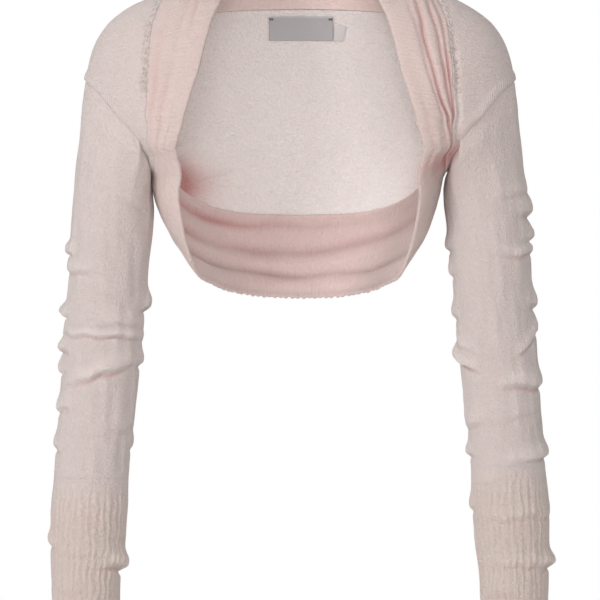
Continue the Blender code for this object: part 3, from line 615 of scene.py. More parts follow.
def dress(cloth, node):
    """Hang a sheet of cloth from the root and hide the plain solid of the part that it stands for."""
    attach(cloth, "root")
    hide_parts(node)


def yarn_material(name, cloth, colour, streak, relief, start_colour=None):
    """Fine knit of a slubbed, brushed yarn, which may take its colour up over the first 40 mm.

    streak stretches the yarn's thick and thin places along the threads. The real loops are
    about 1 mm, too fine to show, so they are drawn about twice as coarse. The eye sees soft
    matt cloth with a broken grain that shows where light rakes it and a pale nap at its edges.
    Painted shade gives a deeper pink and a grey dimming where the cloth's attributes say, and
    painted light makes the cloth paler where its shade is below none, as on the crests of folds.
    """
    material, tree, shader = new_material(name)
    threads = add_node(tree, "UVMap", uv_map="threads").outputs[0]
    place = add_node(tree, "Mapping", {"Vector": threads, "Scale": streak}).outputs[0]
    slub = add_node(tree, "TexNoise", {"Vector": place, "Scale": 1.0, "Detail": 3.0, "Roughness": 0.6,
                                       "Distortion": 0.9}).outputs[0]
    grain = add_node(tree, "TexNoise", {"Vector": threads, "Scale": 0.48, "Detail": 1.0}).outputs[0]
    holes = open_seam(tree, threads)
    stitches = welt_stitches(tree)
    rough = math_node(tree, "MULTIPLY_ADD", slub, 2.2, grain)
    seamed = math_node(tree, "MULTIPLY_ADD", stitches, 0.9, rough)
    height = math_node(tree, "MULTIPLY_ADD", holes, -1.6, seamed)
    bump = add_node(tree, "Bump", {"Height": height, "Strength": relief, "Distance": 0.0014})
    speckle = math_node(tree, "ADD", slub, grain)
    tone = span_node(tree, speckle, 0.65, 1.35, 0.93, 1.07)
    shade = add_node(tree, "Attribute", attribute_name="shade").outputs["Fac"]
    # painted light: where the shade attribute is below none, as on fold crests, the tone is made paler
    crest = math_node(tree, "MULTIPLY", math_node(tree, "MINIMUM", shade, 0.0), -cloth.crest_light)
    raised = math_node(tree, "MULTIPLY_ADD", stitches, 0.2, math_node(tree, "ADD", tone, crest))
    # painted grey shade from the dim attribute darkens the tone
    dim = add_node(tree, "Attribute", attribute_name="dim").outputs["Fac"]
    lit = math_node(tree, "MULTIPLY", raised, math_node(tree, "SUBTRACT", 1.0, dim))
    if start_colour:
        down = add_node(tree, "SeparateXYZ", {0: threads}).outputs[1]
        share = span_node(tree, down, 0.0, 40.0, 0.0, 1.0)
        colour = blend_node(tree, share, start_colour, colour)
    # painted pink shade from the shade attribute
    deep = blend_node(tree, shade, colour, cloth.deep_colour)
    toned = add_node(tree, "VectorMath", {0: deep, 1: lit}, operation="MULTIPLY").outputs[0]
    # painted shade: the seam's open gaps are darkened towards the gap colour
    dark = math_node(tree, "MULTIPLY", holes, 0.42)
    final = blend_node(tree, dark, toned, cloth.gap_shade_colour)
    tree.links.new(final, shader.inputs["Base Color"])
    tree.links.new(bump.outputs[0], shader.inputs["Normal"])
    shader.inputs["Roughness"].default_value = 0.95
    shader.inputs["Specular IOR Level"].default_value = 0.12
    shader.inputs["Sheen Weight"].default_value = cloth.nap
    shader.inputs["Sheen Roughness"].default_value = 0.45
    shader.inputs["Sheen Tint"].default_value = linear("#FBEFEA")
    shader.inputs["Subsurface Weight"].default_value = cloth.see_through
    shader.inputs["Subsurface Radius"].default_value = (1.0, 0.82, 0.78)
    shader.inputs["Subsurface Scale"].default_value = 0.003
    return material


def blend_node(tree, share, first, second):
    """A colour between two others, the first where the share is 0."""
    return add_node(tree, "Mix", {"Factor": share, 6: first, 7: second}, data_type="RGBA").outputs[2]


def math_node(tree, operation, *values):
    """The result of one sum."""
    return add_node(tree, "Math", enumerate(values), operation=operation).outputs[0]


def span_node(tree, value, low, high, first, last):
    """A value read from one range into another."""
    return add_node(tree, "MapRange", {"Value": value, "From Min": low, "From Max": high, "To Min": first,
                                       "To Max": last}).outputs[0]


def open_seam(tree, threads):
    """Uneven small gaps between the loops of an openwork seam, where the cloth's mask says."""
    cells = add_node(tree, "TexVoronoi", {"Vector": threads, "Scale": 0.3, "Randomness": 1.0}).outputs[0]
    gaps = span_node(tree, cells, 0.15, 0.6, 1.0, 0.0)
    mask = add_node(tree, "Attribute", attribute_name="open_seam").outputs["Fac"]
    return math_node(tree, "MULTIPLY", gaps, mask)


def welt_stitches(tree):
    """Slanting stitches on the raised welt of a lapped seam, where the cloth's mask says."""
    run = add_node(tree, "Attribute", attribute_name="welt_run").outputs["Fac"]
    wave = span_node(tree, math_node(tree, "SINE", run), 0.0, 0.9, 0.0, 1.0)
    mask = add_node(tree, "Attribute", attribute_name="welt").outputs["Fac"]
    return math_node(tree, "MULTIPLY", wave, mask)


def label_material(name, colour, thread_pitch, sheen):
    """Woven satin or thin tape: fine level threads with a soft silvery gloss."""
    material, tree, shader = new_material(name)
    threads = add_node(tree, "UVMap", uv_map="threads").outputs[0]
    down = add_node(tree, "SeparateXYZ", {0: threads}).outputs[1]
    still = add_node(tree, "TexNoise", {"Vector": threads, "Scale": 0.5, "Detail": 2.0}).outputs[0]
    wave = math_node(tree, "SINE", math_node(tree, "MULTIPLY_ADD", down, 2 * math.pi / thread_pitch, still))
    tone = span_node(tree, wave, -1.0, 1.0, 0.96, 1.04)
    cast = add_node(tree, "VectorMath", {0: colour[:3], 1: tone}, operation="MULTIPLY").outputs[0]
    bump = add_node(tree, "Bump", {"Height": wave, "Strength": 0.2, "Distance": 0.0002})
    tree.links.new(cast, shader.inputs["Base Color"])
    tree.links.new(bump.outputs[0], shader.inputs["Normal"])
    shader.inputs["Roughness"].default_value = 0.5
    shader.inputs["Sheen Weight"].default_value = sheen
    return material


def thread_material(name, colour):
    """Spun sewing thread, matt, with a faint twist."""
    material, tree, shader = new_material(name)
    place = add_node(tree, "TexCoord").outputs["Object"]
    twist = add_node(tree, "TexNoise", {"Vector": place, "Scale": 2500.0}).outputs[0]
    tone = span_node(tree, twist, 0.0, 1.0, 0.8, 1.2)
    cast = add_node(tree, "VectorMath", {0: colour[:3], 1: tone}, operation="MULTIPLY").outputs[0]
    tree.links.new(cast, shader.inputs["Base Color"])
    shader.inputs["Roughness"].default_value = 0.8
    return material


def floor_material(colour):
    """Painted studio floor: matt paint over smooth board, with a barely uneven tone."""
    material, tree, shader = new_material("matt_studio_paint")
    place = add_node(tree, "TexCoord").outputs["Object"]
    patch = add_node(tree, "TexNoise", {"Vector": place, "Scale": 1.5, "Detail": 2.0}).outputs[0]
    tone = span_node(tree, patch, 0.0, 1.0, 0.97, 1.03)
    cast = add_node(tree, "VectorMath", {0: colour[:3], 1: tone}, operation="MULTIPLY").outputs[0]
    tree.links.new(cast, shader.inputs["Base Color"])
    shader.inputs["Roughness"].default_value = 0.85
    return material


def once(name, *settings):
    """A yarn's material that several pieces share, made the first time it is asked for."""
    return bpy.data.materials.get(name) or yarn_material(name, *settings)


def shade_at(turn, height):
    """How deep in shade the inside of the body is: most in the pocket below the right armhole."""
    sides = bell(np.abs(np.sin(np.radians(turn))) - 1, SIDE_SHADE["narrow"])
    sides = SIDE_SHADE["strength"] * sides * bell(height - SIDE_SHADE["height"], SIDE_SHADE["reach"])
    return np.clip(sides + spots(POCKET_SHADE, turn, height), 0, 1)


def armpit_puff(turn, height):
    """How far the body's cloth is pushed out where the sleeve presses on it, below the armhole."""
    return spots(ARMPIT_PUFF, np.minimum(turn, 360 - turn), height)


def panel_threads(points):
    """Thread coordinates of a body panel: along its courses, and down its wales."""
    x, y, z = points[..., 0], points[..., 1], points[..., 2]
    return x + np.clip(x / 90, -1, 1) * 0.6 * (100 - np.abs(y)), z


def panel(name, turn, height, relief, wall, material, seam, welt, run, puff=0.0, outer_dimming=0.0):
    """A body panel from its chart places, its relief and how near it is to each kind of seam."""
    normal = form_normal(turn, height)
    relief = relief + armpit_puff(turn, height) * puff
    outer = form_point(turn, height) + normal * relief[..., None]
    inner = outer - normal * wall
    across, along = panel_threads(outer)
    shade = (spots(ARMPIT_SHADE, turn, height), shade_at(turn, height))
    return add_cloth(name, outer, inner, across, along, material, rim=0.3 * wall, shade=shade,
                     dim=(outer_dimming, 0), open_seam=seam, welt=(welt, 0 * welt), welt_run=(run, run))


def near(distance, reach):
    """1 at a seam, falling smoothly to 0 at a distance of reach and a half."""
    return 1 - fade_in(distance / reach - 0.5)


def openwork(distance, reach, height):
    """How open the linked seam beside the band is, at a distance from it."""
    return near(distance, reach) * fade_in((height - OPENWORK_END["height"]) / OPENWORK_END["fade"])


def edge_distance(points, column):
    """Distance of each point of a grid from one of its columns, along the rows."""
    reach = lengths(np.swapaxes(points, 0, 1)).T
    return np.abs(reach - reach[:, [column]])


def shares_and_bows(turn, height):
    """Places along a seam as shares of its turn, and how far each lies off the seam's straight line."""
    part = (turn - turn[0]) / (turn[-1] - turn[0])
    return part, height - (height[0] + (height[-1] - height[0]) * part)


def build_back(cloth):
    """The back, from the neck and shoulder seams down to the seam of the lower band."""
    neck = even_rows(NECK_BAND, BACK_COLUMNS, ("seam", "edge"))
    hem = even_rows(HEM_BAND, BACK_COLUMNS, ("seam", "edge"))
    hem = {name: column[::-1] for name, column in hem.items()}
    share = np.linspace(0, 1, BACK_ROWS + 1)
    shoulder_end, armhole_end = BACK_MIDDLE["share"][1], BACK_MIDDLE["share"][2]
    middle_height = np.interp(share, BACK_MIDDLE["share"], BACK_MIDDLE["height"])
    shoulder = even_line(SHOULDER["turn"], SHOULDER["height"], 200)
    armhole = even_line(180 - FRONT["armhole_turn"], FRONT["armhole_height"], 200)
    at = np.concatenate([np.linspace(0, shoulder_end, 201), np.linspace(shoulder_end, armhole_end, 201)[1:],
                         [1.0]])
    side_turn = np.interp(share, at, np.concatenate([shoulder[0], armhole[0][1:], [SIDE_POINT[0]]]))
    side_height = np.interp(share, at, np.concatenate([shoulder[1], armhole[1][1:], [SIDE_POINT[1]]]))
    top_share, top_bow = shares_and_bows(neck["seam_turn"], neck["seam_height"])
    low_share, low_bow = shares_and_bows(hem["seam_turn"], hem["seam_height"])
    down = share[:, None]
    across = top_share + (low_share - top_share) * down
    bow = top_bow + (low_bow - top_bow) * down
    turn = 180 + (side_turn[:, None] - 180) * across
    height = middle_height[:, None] + (side_height - middle_height)[:, None] * across + bow
    turn = np.concatenate([360 - turn[:, :0:-1], turn], axis=1)
    height = np.concatenate([height[:, :0:-1], height], axis=1)
    points = form_point(turn, height)
    down_run = lengths(points)
    top_gap, low_gap = down_run, down_run[-1:] - down_run
    left_gap, right_gap = edge_distance(points, -1), edge_distance(points, 0)
    side_gap = np.minimum(left_gap, right_gap)
    border = np.minimum(np.minimum(top_gap, low_gap), side_gap)
    relief = fade_in(border / 40) * fold_relief(BACK_FOLDS, turn, height) * cloth.fold_depth
    relief += fade_in(border / 30) * 0.9 * ripple(3, turn * 3, height, 70)
    welt = near(side_gap, WELT_WIDTH) * fade_in((WELT_END["top"] - height) / WELT_END["top_fade"])
    welt *= fade_in((height - WELT_END["bottom"]) / WELT_END["bottom_fade"])
    relief += WELT_HEIGHT * welt
    # the back's paler colour is painted light on the back's inner face
    material = once("brushed_slub_knit_back", cloth, cloth.back_colour_painted_light, (0.30, 0.38, 1),
                    1.25 * cloth.knit_relief)
    piece = panel("back_knit", turn, height, relief, cloth.knit_wall, material,
                  (near(np.minimum(top_gap, low_gap), 5), 0.5 * near(top_gap, 4)), welt,
                  stitch_run(down_run, side_gap), outer_dimming=BACK_OUTER_DIMMING)
    dress(piece, "back_panel")


def stitch_run(run, distance):
    """Turns of the welt's slanting stitches at a run along the seam and a distance from it."""
    return 2 * math.pi * (run + 0.7 * distance) / WELT_PITCH


def front_rows(steps):
    """The front's lines read at equal spacing down it."""
    return even_rows(FRONT, steps, ("seam", "edge", "armhole"))


def build_front(cloth, side):
    """One narrow front between the band, the shoulder seam and the armhole."""
    rows = front_rows(FRONT_PANEL_ROWS)
    share = np.linspace(0, 1, FRONT_PANEL_COLUMNS + 1)
    turn = rows["seam_turn"][:, None] + (rows["armhole_turn"] - rows["seam_turn"])[:, None] * share
    height = rows["seam_height"][:, None] + (rows["armhole_height"] - rows["seam_height"])[:, None] * share
    if side == "left":
        turn, height = turn[:, ::-1], height[:, ::-1]
    else:
        turn = 360 - turn
    points = form_point(turn, height)
    band_end, arm_end = (-1, 0) if side == "left" else (0, -1)
    to_band, to_arm = edge_distance(points, band_end), edge_distance(points, arm_end)
    welt = near(to_arm, WELT_WIDTH) * fade_in((to_band + to_arm) / 25)
    relief = WELT_HEIGHT * welt
    relief += fade_in(np.minimum(to_band, to_arm) / 20) * 0.7 * ripple(8, points[..., 0], height, 60)
    if side == "left":
        relief -= GROOVE["depth"] * bell(to_band - GROOVE["place"], GROOVE["reach"]) * fade_in(
            (GROOVE["top"] - height) / GROOVE["fade"])
    material = once("brushed_slub_knit_front", cloth, cloth.knit_colour, (0.14, 0.42, 1), cloth.knit_relief)
    seam = openwork(to_band, 9, height)
    piece = panel("front_knit_" + side, turn, height, relief, cloth.knit_wall, material, (seam, seam), welt,
                  stitch_run(lengths(points), to_arm), fade_in((to_arm + 2) / 9))
    dress(piece, "front_panel_" + side)


def band_valleys(valleys, along, across):
    """The valleys along a band: how deep they cut it, and the pink and the grey shade in them."""
    fade = fade_in((across + 0.02) / 0.06) * fade_in((1 - across) / 0.06)
    cuts, tint, dim = 0, 0, 0
    for k, valley in enumerate(valleys):
        place, deep, pink = (smooth(STATIONS, valley[name], along) for name in ("places", "depths", "tints"))
        place = place + 0.012 * ripple(80 + k, 300 * along, 0, 50)
        section = np.exp(-np.abs((across - place) / valley["half_width"]) ** 1.7)
        section = section * (1 + 0.4 * ripple(90 + k, 300 * along, 0, 60))
        cuts = cuts + fade * deep * section
        tint = tint + pink * section
        dim = dim + valley["dim"] * section
    return cuts, tint, dim


def build_band(cloth, name, node, rows, valleys, mirror=False, whole=False, base_shade=0.0, frill=0.0):
    """One stretch of the ribbed band. A whole stretch crosses the middle of the back.

    Its seam side is tucked a little way under the panel that it is sewn to. It lies flatter
    below the armholes, and frill makes its free edge wavy.
    """
    lines = ("seam_turn", "seam_height", "edge_turn", "edge_height")
    seam_turn, seam_height, edge_turn, edge_height = (rows[line] for line in lines)
    others = [360 - seam_turn[::-1], seam_height[::-1], 360 - edge_turn[::-1], edge_height[::-1]]
    own = [seam_turn, seam_height, edge_turn, edge_height]
    if mirror:
        own = others
    elif whole:
        first, second = (own, others) if seam_turn[-1] == 180 else (others, own)
        own = [np.concatenate([a, b[1:]]) for a, b in zip(first, second)]
    seam_turn, seam_height, edge_turn, edge_height = own
    position = np.linspace(0, 1, len(seam_turn))
    along = 1 - position if mirror else position
    across = np.concatenate([[-0.016], np.linspace(0, 1, BAND_COLUMNS)])
    turn = seam_turn[:, None] + (edge_turn - seam_turn)[:, None] * across
    height = seam_height[:, None] + (edge_height - seam_height)[:, None] * across
    base = form_point(turn, height)
    run = lengths((base[:, :1] + base[:, -1:]) / 2)
    width = lengths(np.swapaxes(base, 0, 1)).T
    from_front = np.minimum(turn, 360 - turn)
    at_side = bell(from_front - BAND_SIDE["turn"], BAND_SIDE["reach"])
    cuts, tint, dim = band_valleys(valleys, along[:, None], across)
    cuts = cuts * cloth.fold_depth
    relief = BAND_CROWN * (1 - 0.85 * at_side) * np.sin(math.pi * np.clip(across, 0, 1)) ** 0.8 - cuts
    from_seam, from_edge = width - width[:, 1:2], width[:, -1:] - width
    ribs = np.cos(2 * math.pi * (run + 0.8 * ripple(5, run, width, 40)) / cloth.rib_pitch)
    relief += cloth.rib_relief * ribs * fade_in(from_seam / 6)
    relief -= 0.8 * near(from_seam, 1.5)
    relief += fade_in(from_edge / 12) * fade_in(from_seam / 12) * 0.6 * ripple(12, run, width, 55)
    relief += armpit_puff(turn, height)
    normal = form_normal(turn, height)
    outer = base + normal * (relief + 0.8 * at_side * cuts)[..., None]
    inner = base + normal * (relief - cloth.band_wall)[..., None]
    wave = np.cos(2 * math.pi * run / 1.7 / cloth.rib_pitch) + ripple(13, run, 0, 9)
    scallop = frill * bell(from_edge, 4) * wave
    way = unit(base[:, -1:] - base[:, -2:-1])
    outer, inner = outer + way * scallop[..., None], inner + way * scallop[..., None]
    colour, kind, inner_dim = cloth.rib_colour, "band", dim
    if node == "band_hem":
        # the lower band takes a lighter, pinker rib colour: painted light for its inner face
        colour, kind = cloth.hem_colour_painted_light, "hem"
        base_shade = 0.04 * (1 - fade_in((across - 0.25) / 0.3))
        inner_dim = dim + hem_dimming(turn, across)
    material = once("brushed_slub_rib_" + kind, cloth, colour, (0.45, 0.12, 1), cloth.rib_texture)
    shade, outer_dim = tint + spots(ARMPIT_SHADE, turn, height), dim + spots(ARMPIT_DIMMING, turn, height)
    seam = openwork(from_seam, 3, height)
    piece = add_cloth(name, outer, inner, np.broadcast_to(run, width.shape), width, material,
                      rim=0.45 * cloth.band_wall, shade=(shade, tint + base_shade),
                      dim=(outer_dim, inner_dim), open_seam=(seam, 0 * seam))
    dress(piece, node)


def hem_dimming(turn, across):
    """How much less light reaches the lower band's inner face at its sides and near its free edge."""
    sides = 0
    for middle, reach, strength in zip(*HEM_DIMMING.values()):
        sides = sides + strength * bell(turn - middle, reach)
    return sides + 0.08 * bell(across - 0.96, 0.025) + 0.04 * fade_in((across - 0.6) / 0.2)


def ring_points(sizes, turn):
    """Points of sleeve rings given by their outer and inner lines, depths and middles."""
    outer_height, outer_x, inner_height, inner_x, front, back, middle_y = (s[:, None] for s in sizes)
    cosine, sine = np.cos(np.radians(turn)), np.sin(np.radians(turn))
    zero = np.zeros_like(outer_x)
    middle = np.stack([(outer_x + inner_x) / 2, middle_y, (outer_height + inner_height) / 2], -1)
    half = np.stack([(outer_x - inner_x) / 2, zero, (outer_height - inner_height) / 2], -1)
    depth = np.where(sine > 0, front, back) * sine
    drop = np.stack([np.zeros_like(depth), -depth, np.zeros_like(depth)], -1)
    return middle + half * cosine[None, :, None] + drop, middle


def sleeve_sizes(height):
    """Sleeve sizes at heights of its outer line, read from the cuff's table past its own end."""
    names = ("outer_x", "inner_height", "inner_x", "front", "back", "middle_y")
    upper = [smooth(SLEEVE["outer_height"], SLEEVE[name], height) for name in names]
    lower = [height if name == "inner_height" else smooth(CUFF["height"], CUFF[name], height)
             for name in names]
    below = height < SLEEVE["outer_height"][-1]
    return [height] + [np.where(below, b, a) for a, b in zip(upper, lower)]


def armhole_points(turn, side):
    """Armhole seam points and outward directions for turns round the sleeve, on the +X side."""
    front = even_line(FRONT["armhole_turn"], FRONT["armhole_height"], 180)
    back = even_line(180 - FRONT["armhole_turn"], FRONT["armhole_height"], 180)
    step = np.arange(181)
    forward, share = turn <= 180, np.where(turn <= 180, turn, 360 - turn)
    place = [np.where(forward, np.interp(share, step, a), np.interp(share, step, b))
             for a, b in zip(front, back)]
    if side == "left":
        return form_point(*place), form_normal(*place)
    return MIRROR * form_point(360 - place[0], place[1]), MIRROR * form_normal(360 - place[0], place[1])


def placed(grid, side):
    """A +X grid of points as it stands, or mirrored to -X with its rings turned the other way."""
    if side == "left":
        return grid
    flipped = grid * MIRROR
    return np.concatenate([flipped[:, :1], flipped[:, :0:-1]], axis=1)


def turned(grid, side):
    """A +X grid of values in the order that placed gives its points."""
    return grid if side == "left" else np.concatenate([grid[:, :1], grid[:, :0:-1]], axis=1)


def ring_threads(outer, count):
    """Thread coordinates of a tube: count millimetres all round it, and the length down it."""
    rows, width = outer.shape[:2]
    across = np.broadcast_to(np.linspace(0, count, width + 1), (rows, width + 1))
    run = lengths(outer).mean(axis=1)[:, None]
    return across, np.broadcast_to(run, (rows, width + 1))


def build_sleeve(cloth, side):
    """One sleeve, a full tube from the armhole down to the cuff seam."""
    turn = np.arange(SLEEVE_COLUMNS) * 360 / SLEEVE_COLUMNS
    end = CUFF_START[side]
    upper_end, upper_rows = SLEEVE_UPPER["end"], int(SLEEVE_ROWS * SLEEVE_UPPER["share"])
    height = np.concatenate([np.linspace(SLEEVE_TOP, upper_end, upper_rows, endpoint=False),
                             np.linspace(upper_end, end + EDGE_ROW, SLEEVE_ROWS - upper_rows), [end]])
    points, middle = ring_points(sleeve_sizes(height), turn)
    seam, normal = armhole_points(turn, side)
    hold = 1 - fade_in((SLEEVE_TOP - height) / ARMHOLE_BLEND)
    points = points + (seam - points[:1]) * hold[:, None, None]
    radial = unit(points - middle)
    from_seam = lengths(points)
    fade = fade_in((from_seam - 12) / 50) * fade_in((height - end) / 9)[:, None]
    sway = 1.6 * ripple(20 + SEED[side], 2.3 * turn, points[..., 2], 90)
    relief = fade * cloth.fold_depth * fold_relief(SLEEVE_FOLDS[side], turn, points[..., 2] + sway)
    # painted shade in the folds' creases and painted light on their crests
    crease = crease_shade(relief)
    relief += fade_in(from_seam / 40) * fade_in((height - end) / 9)[:, None] * 0.7 * ripple(
        30 + SEED[side], 2.3 * turn, points[..., 2], 50)
    relief += spots(SLEEVE_PUFF[side], turn, points[..., 2]) * fade_in(from_seam / 14)
    outer = points + radial * relief[..., None]
    inner = points + radial * (relief - cloth.knit_wall)[..., None]
    tuck = unit(outer[1] - outer[0])
    for row, (under, back) in enumerate(zip(*SLEEVE_TUCK.values())):
        for grid in (outer, inner):
            grid[row] -= normal * under + tuck * back
    outer, inner = placed(outer, side), placed(inner, side)
    across, along = ring_threads(outer, SLEEVE_ROUND)
    material = once("brushed_slub_knit_sleeve", cloth, cloth.knit_colour, (0.40, 0.24, 1), cloth.knit_relief)
    # painted shade: creases, the hollow under the armhole, and the whole inner face of the tube
    shade = turned(crease + spots(SLEEVE_SHADE[side], turn, points[..., 2]), side)
    piece = add_cloth("sleeve_knit_" + side, outer, inner, across, along, material, ring=True, rim=0.5,
                      shade=(shade, 0.6))
    dress(piece, "sleeve_" + side)


def build_cuff(cloth, side):
    """The ribbed cuff, with plump ribs all round it."""
    columns = CUFF_RIBS * CUFF_POINTS_PER_RIB
    turn = np.arange(columns) * 360 / columns
    start = CUFF_START[side]
    height = np.concatenate([[start], np.linspace(start - EDGE_ROW, CUFF_END, CUFF_ROWS)])
    names = ("outer_x", "height", "inner_x", "front", "back", "middle_y")
    sizes = [height] + [height if name == "height" else smooth(CUFF["height"], CUFF[name], height)
                        for name in names]
    points, middle = ring_points(sizes, turn)
    radial = unit(points - middle)
    from_start = (start - height)[:, None]
    sway = 1.5 * ripple(40 + SEED[side], 2 * turn, points[..., 2], 70)
    relief = fade_in(from_start / 12) * cloth.fold_depth * fold_relief(
        CUFF_FOLDS[side], turn, points[..., 2] + sway)
    # painted shade in the folds' creases and painted light on their crests
    crease = crease_shade(relief)
    lean = 2.4 * ripple(50 + SEED[side], 0.5 * turn, points[..., 2], 60)
    lean = lean + 2.2 * ripple(60 + SEED[side], 1.5 * turn, points[..., 2], 28)
    rib = np.cos(np.radians((turn + lean) * CUFF_RIBS))
    strong = 0.75 + 0.35 * ripple(71, 2 * turn, points[..., 2], 45)
    rise = fade_in((from_start + 1) / 28) * strong * cloth.cuff_rib_relief
    plump = 0.5 + 0.5 * np.sign(rib) * np.abs(rib) ** 0.75
    outer = points + radial * (relief + rise * plump)[..., None]
    inner = points + radial * (relief + 0.35 * rise * rib - cloth.knit_wall)[..., None]
    outer, inner = placed(outer, side), placed(inner, side)
    across, along = ring_threads(outer, CUFF_ROUND)
    material = once("brushed_slub_rib_cuff", cloth, cloth.cuff_colour, (0.36, 0.24, 1), cloth.knit_relief,
                    cloth.knit_colour)
    # painted shade between the ribs and in creases, and on the whole inner face of the cuff
    shade = turned(0.06 * (1 - plump) + crease, side)
    piece = add_cloth("cuff_rib_" + side, outer, inner, across, along, material, ring=True, rim=0.6,
                      shade=(shade, 0.6))
    dress(piece, "cuff_" + side)


def back_face(x, height):
    """Points of the back's inner face at places seen from the front."""
    low, high = np.full(np.shape(x), 90.0), np.full(np.shape(x), 270.0)
    for _ in range(40):
        turn = (low + high) / 2
        right = form_point(turn, height)[..., 0] > x
        low, high = np.where(right, turn, low), np.where(right, high, turn)
    return form_point(turn, height), form_normal(turn, height)


def build_trim(cloth):
    """The bare woven neck label with its corner stitches, and the plain tab beside it."""
    middle, half = LABEL["middle_x"], LABEL["half_width"]
    label_corners = ((middle - half, LABEL["top"]), (middle + half, LABEL["top"]),
                     (middle - half, LABEL["bottom"]), (middle + half, LABEL["bottom"]))
    tab_corners = ((SIZE_TAB["left"], SIZE_TAB["top"]), (SIZE_TAB["right"], SIZE_TAB["top"]),
                   (SIZE_TAB["left"], SIZE_TAB["bottom"]),
                   (SIZE_TAB["right"] - SIZE_TAB["slant"], SIZE_TAB["bottom"]))
    satin = label_material("woven_satin_label", cloth.label_colour, 1.1, 0.35)
    tape = label_material("thin_white_tape", cloth.tab_colour, 1.4, 0.1)
    label = trim_sheet(cloth, "label_satin", label_corners, satin, LABEL_WALL)
    stitches = corner_stitches(cloth, label_corners)
    dress(label, "neck_label")
    stitches.parent = label
    tab = trim_sheet(cloth, "tab_tape", tab_corners, tape, TAB_WALL)
    dress(tab, "size_tab")


def trim_sheet(cloth, name, corners, material, wall):
    """A small flat piece lying just inside the back, between four corner places."""
    u, v = np.meshgrid(np.linspace(0, 1, 49), np.linspace(0, 1, 25))
    top = [corners[0][k] + (corners[1][k] - corners[0][k]) * u for k in (0, 1)]
    low = [corners[2][k] + (corners[3][k] - corners[2][k]) * u for k in (0, 1)]
    x, height = (a + (b - a) * v for a, b in zip(top, low))
    point, normal = back_face(x, height)
    bow = 0.7 * np.sin(math.pi * v) * np.sin(math.pi * u) ** 0.5
    back = point - normal * (cloth.knit_wall + LABEL_GAP)
    face = back - normal * (wall + bow)[..., None]
    return add_cloth(name, back, face, x, height, material, rim=0.2)


def corner_stitches(cloth, corners):
    """Short crossed stitches of dark thread that hold the label at its two upper corners."""
    material = thread_material("spun_sewing_thread", cloth.thread_colour)
    bpy.ops.object.select_all(action="DESELECT")
    made = []
    for inwards, (corner_x, corner_height) in zip((1, -1), corners[:2]):
        x, height = corner_x + inwards * STITCH["inset"], corner_height - STITCH["drop"]
        point, normal = back_face(np.array(x), np.array(height))
        place = point - normal * (cloth.knit_wall + LABEL_GAP + STITCH["rise"])
        for lean in STITCH_LEANS:
            bpy.ops.mesh.primitive_cylinder_add(
                vertices=8, radius=STITCH["radius"] * MM, depth=STITCH["length"] * MM,
                location=(place * MM).tolist(),
                rotation=Euler((0, math.radians(90 + inwards * lean), 0)))
            stitch = bpy.context.object
            stitch.data.materials.append(material)
            made.append(stitch)
    bpy.ops.object.select_all(action="DESELECT")
    for stitch in made:
        stitch.select_set(True)
    bpy.context.view_layer.objects.active = made[0]
    bpy.ops.object.join()
    bpy.ops.object.transform_apply(location=True, rotation=True, scale=True)
    bpy.ops.object.shade_smooth()
    made[0].name = "label_stitches"
    return made[0]


COLOUR = {"size": 4, "min": 0, "max": 1, "subtype": "COLOR"}


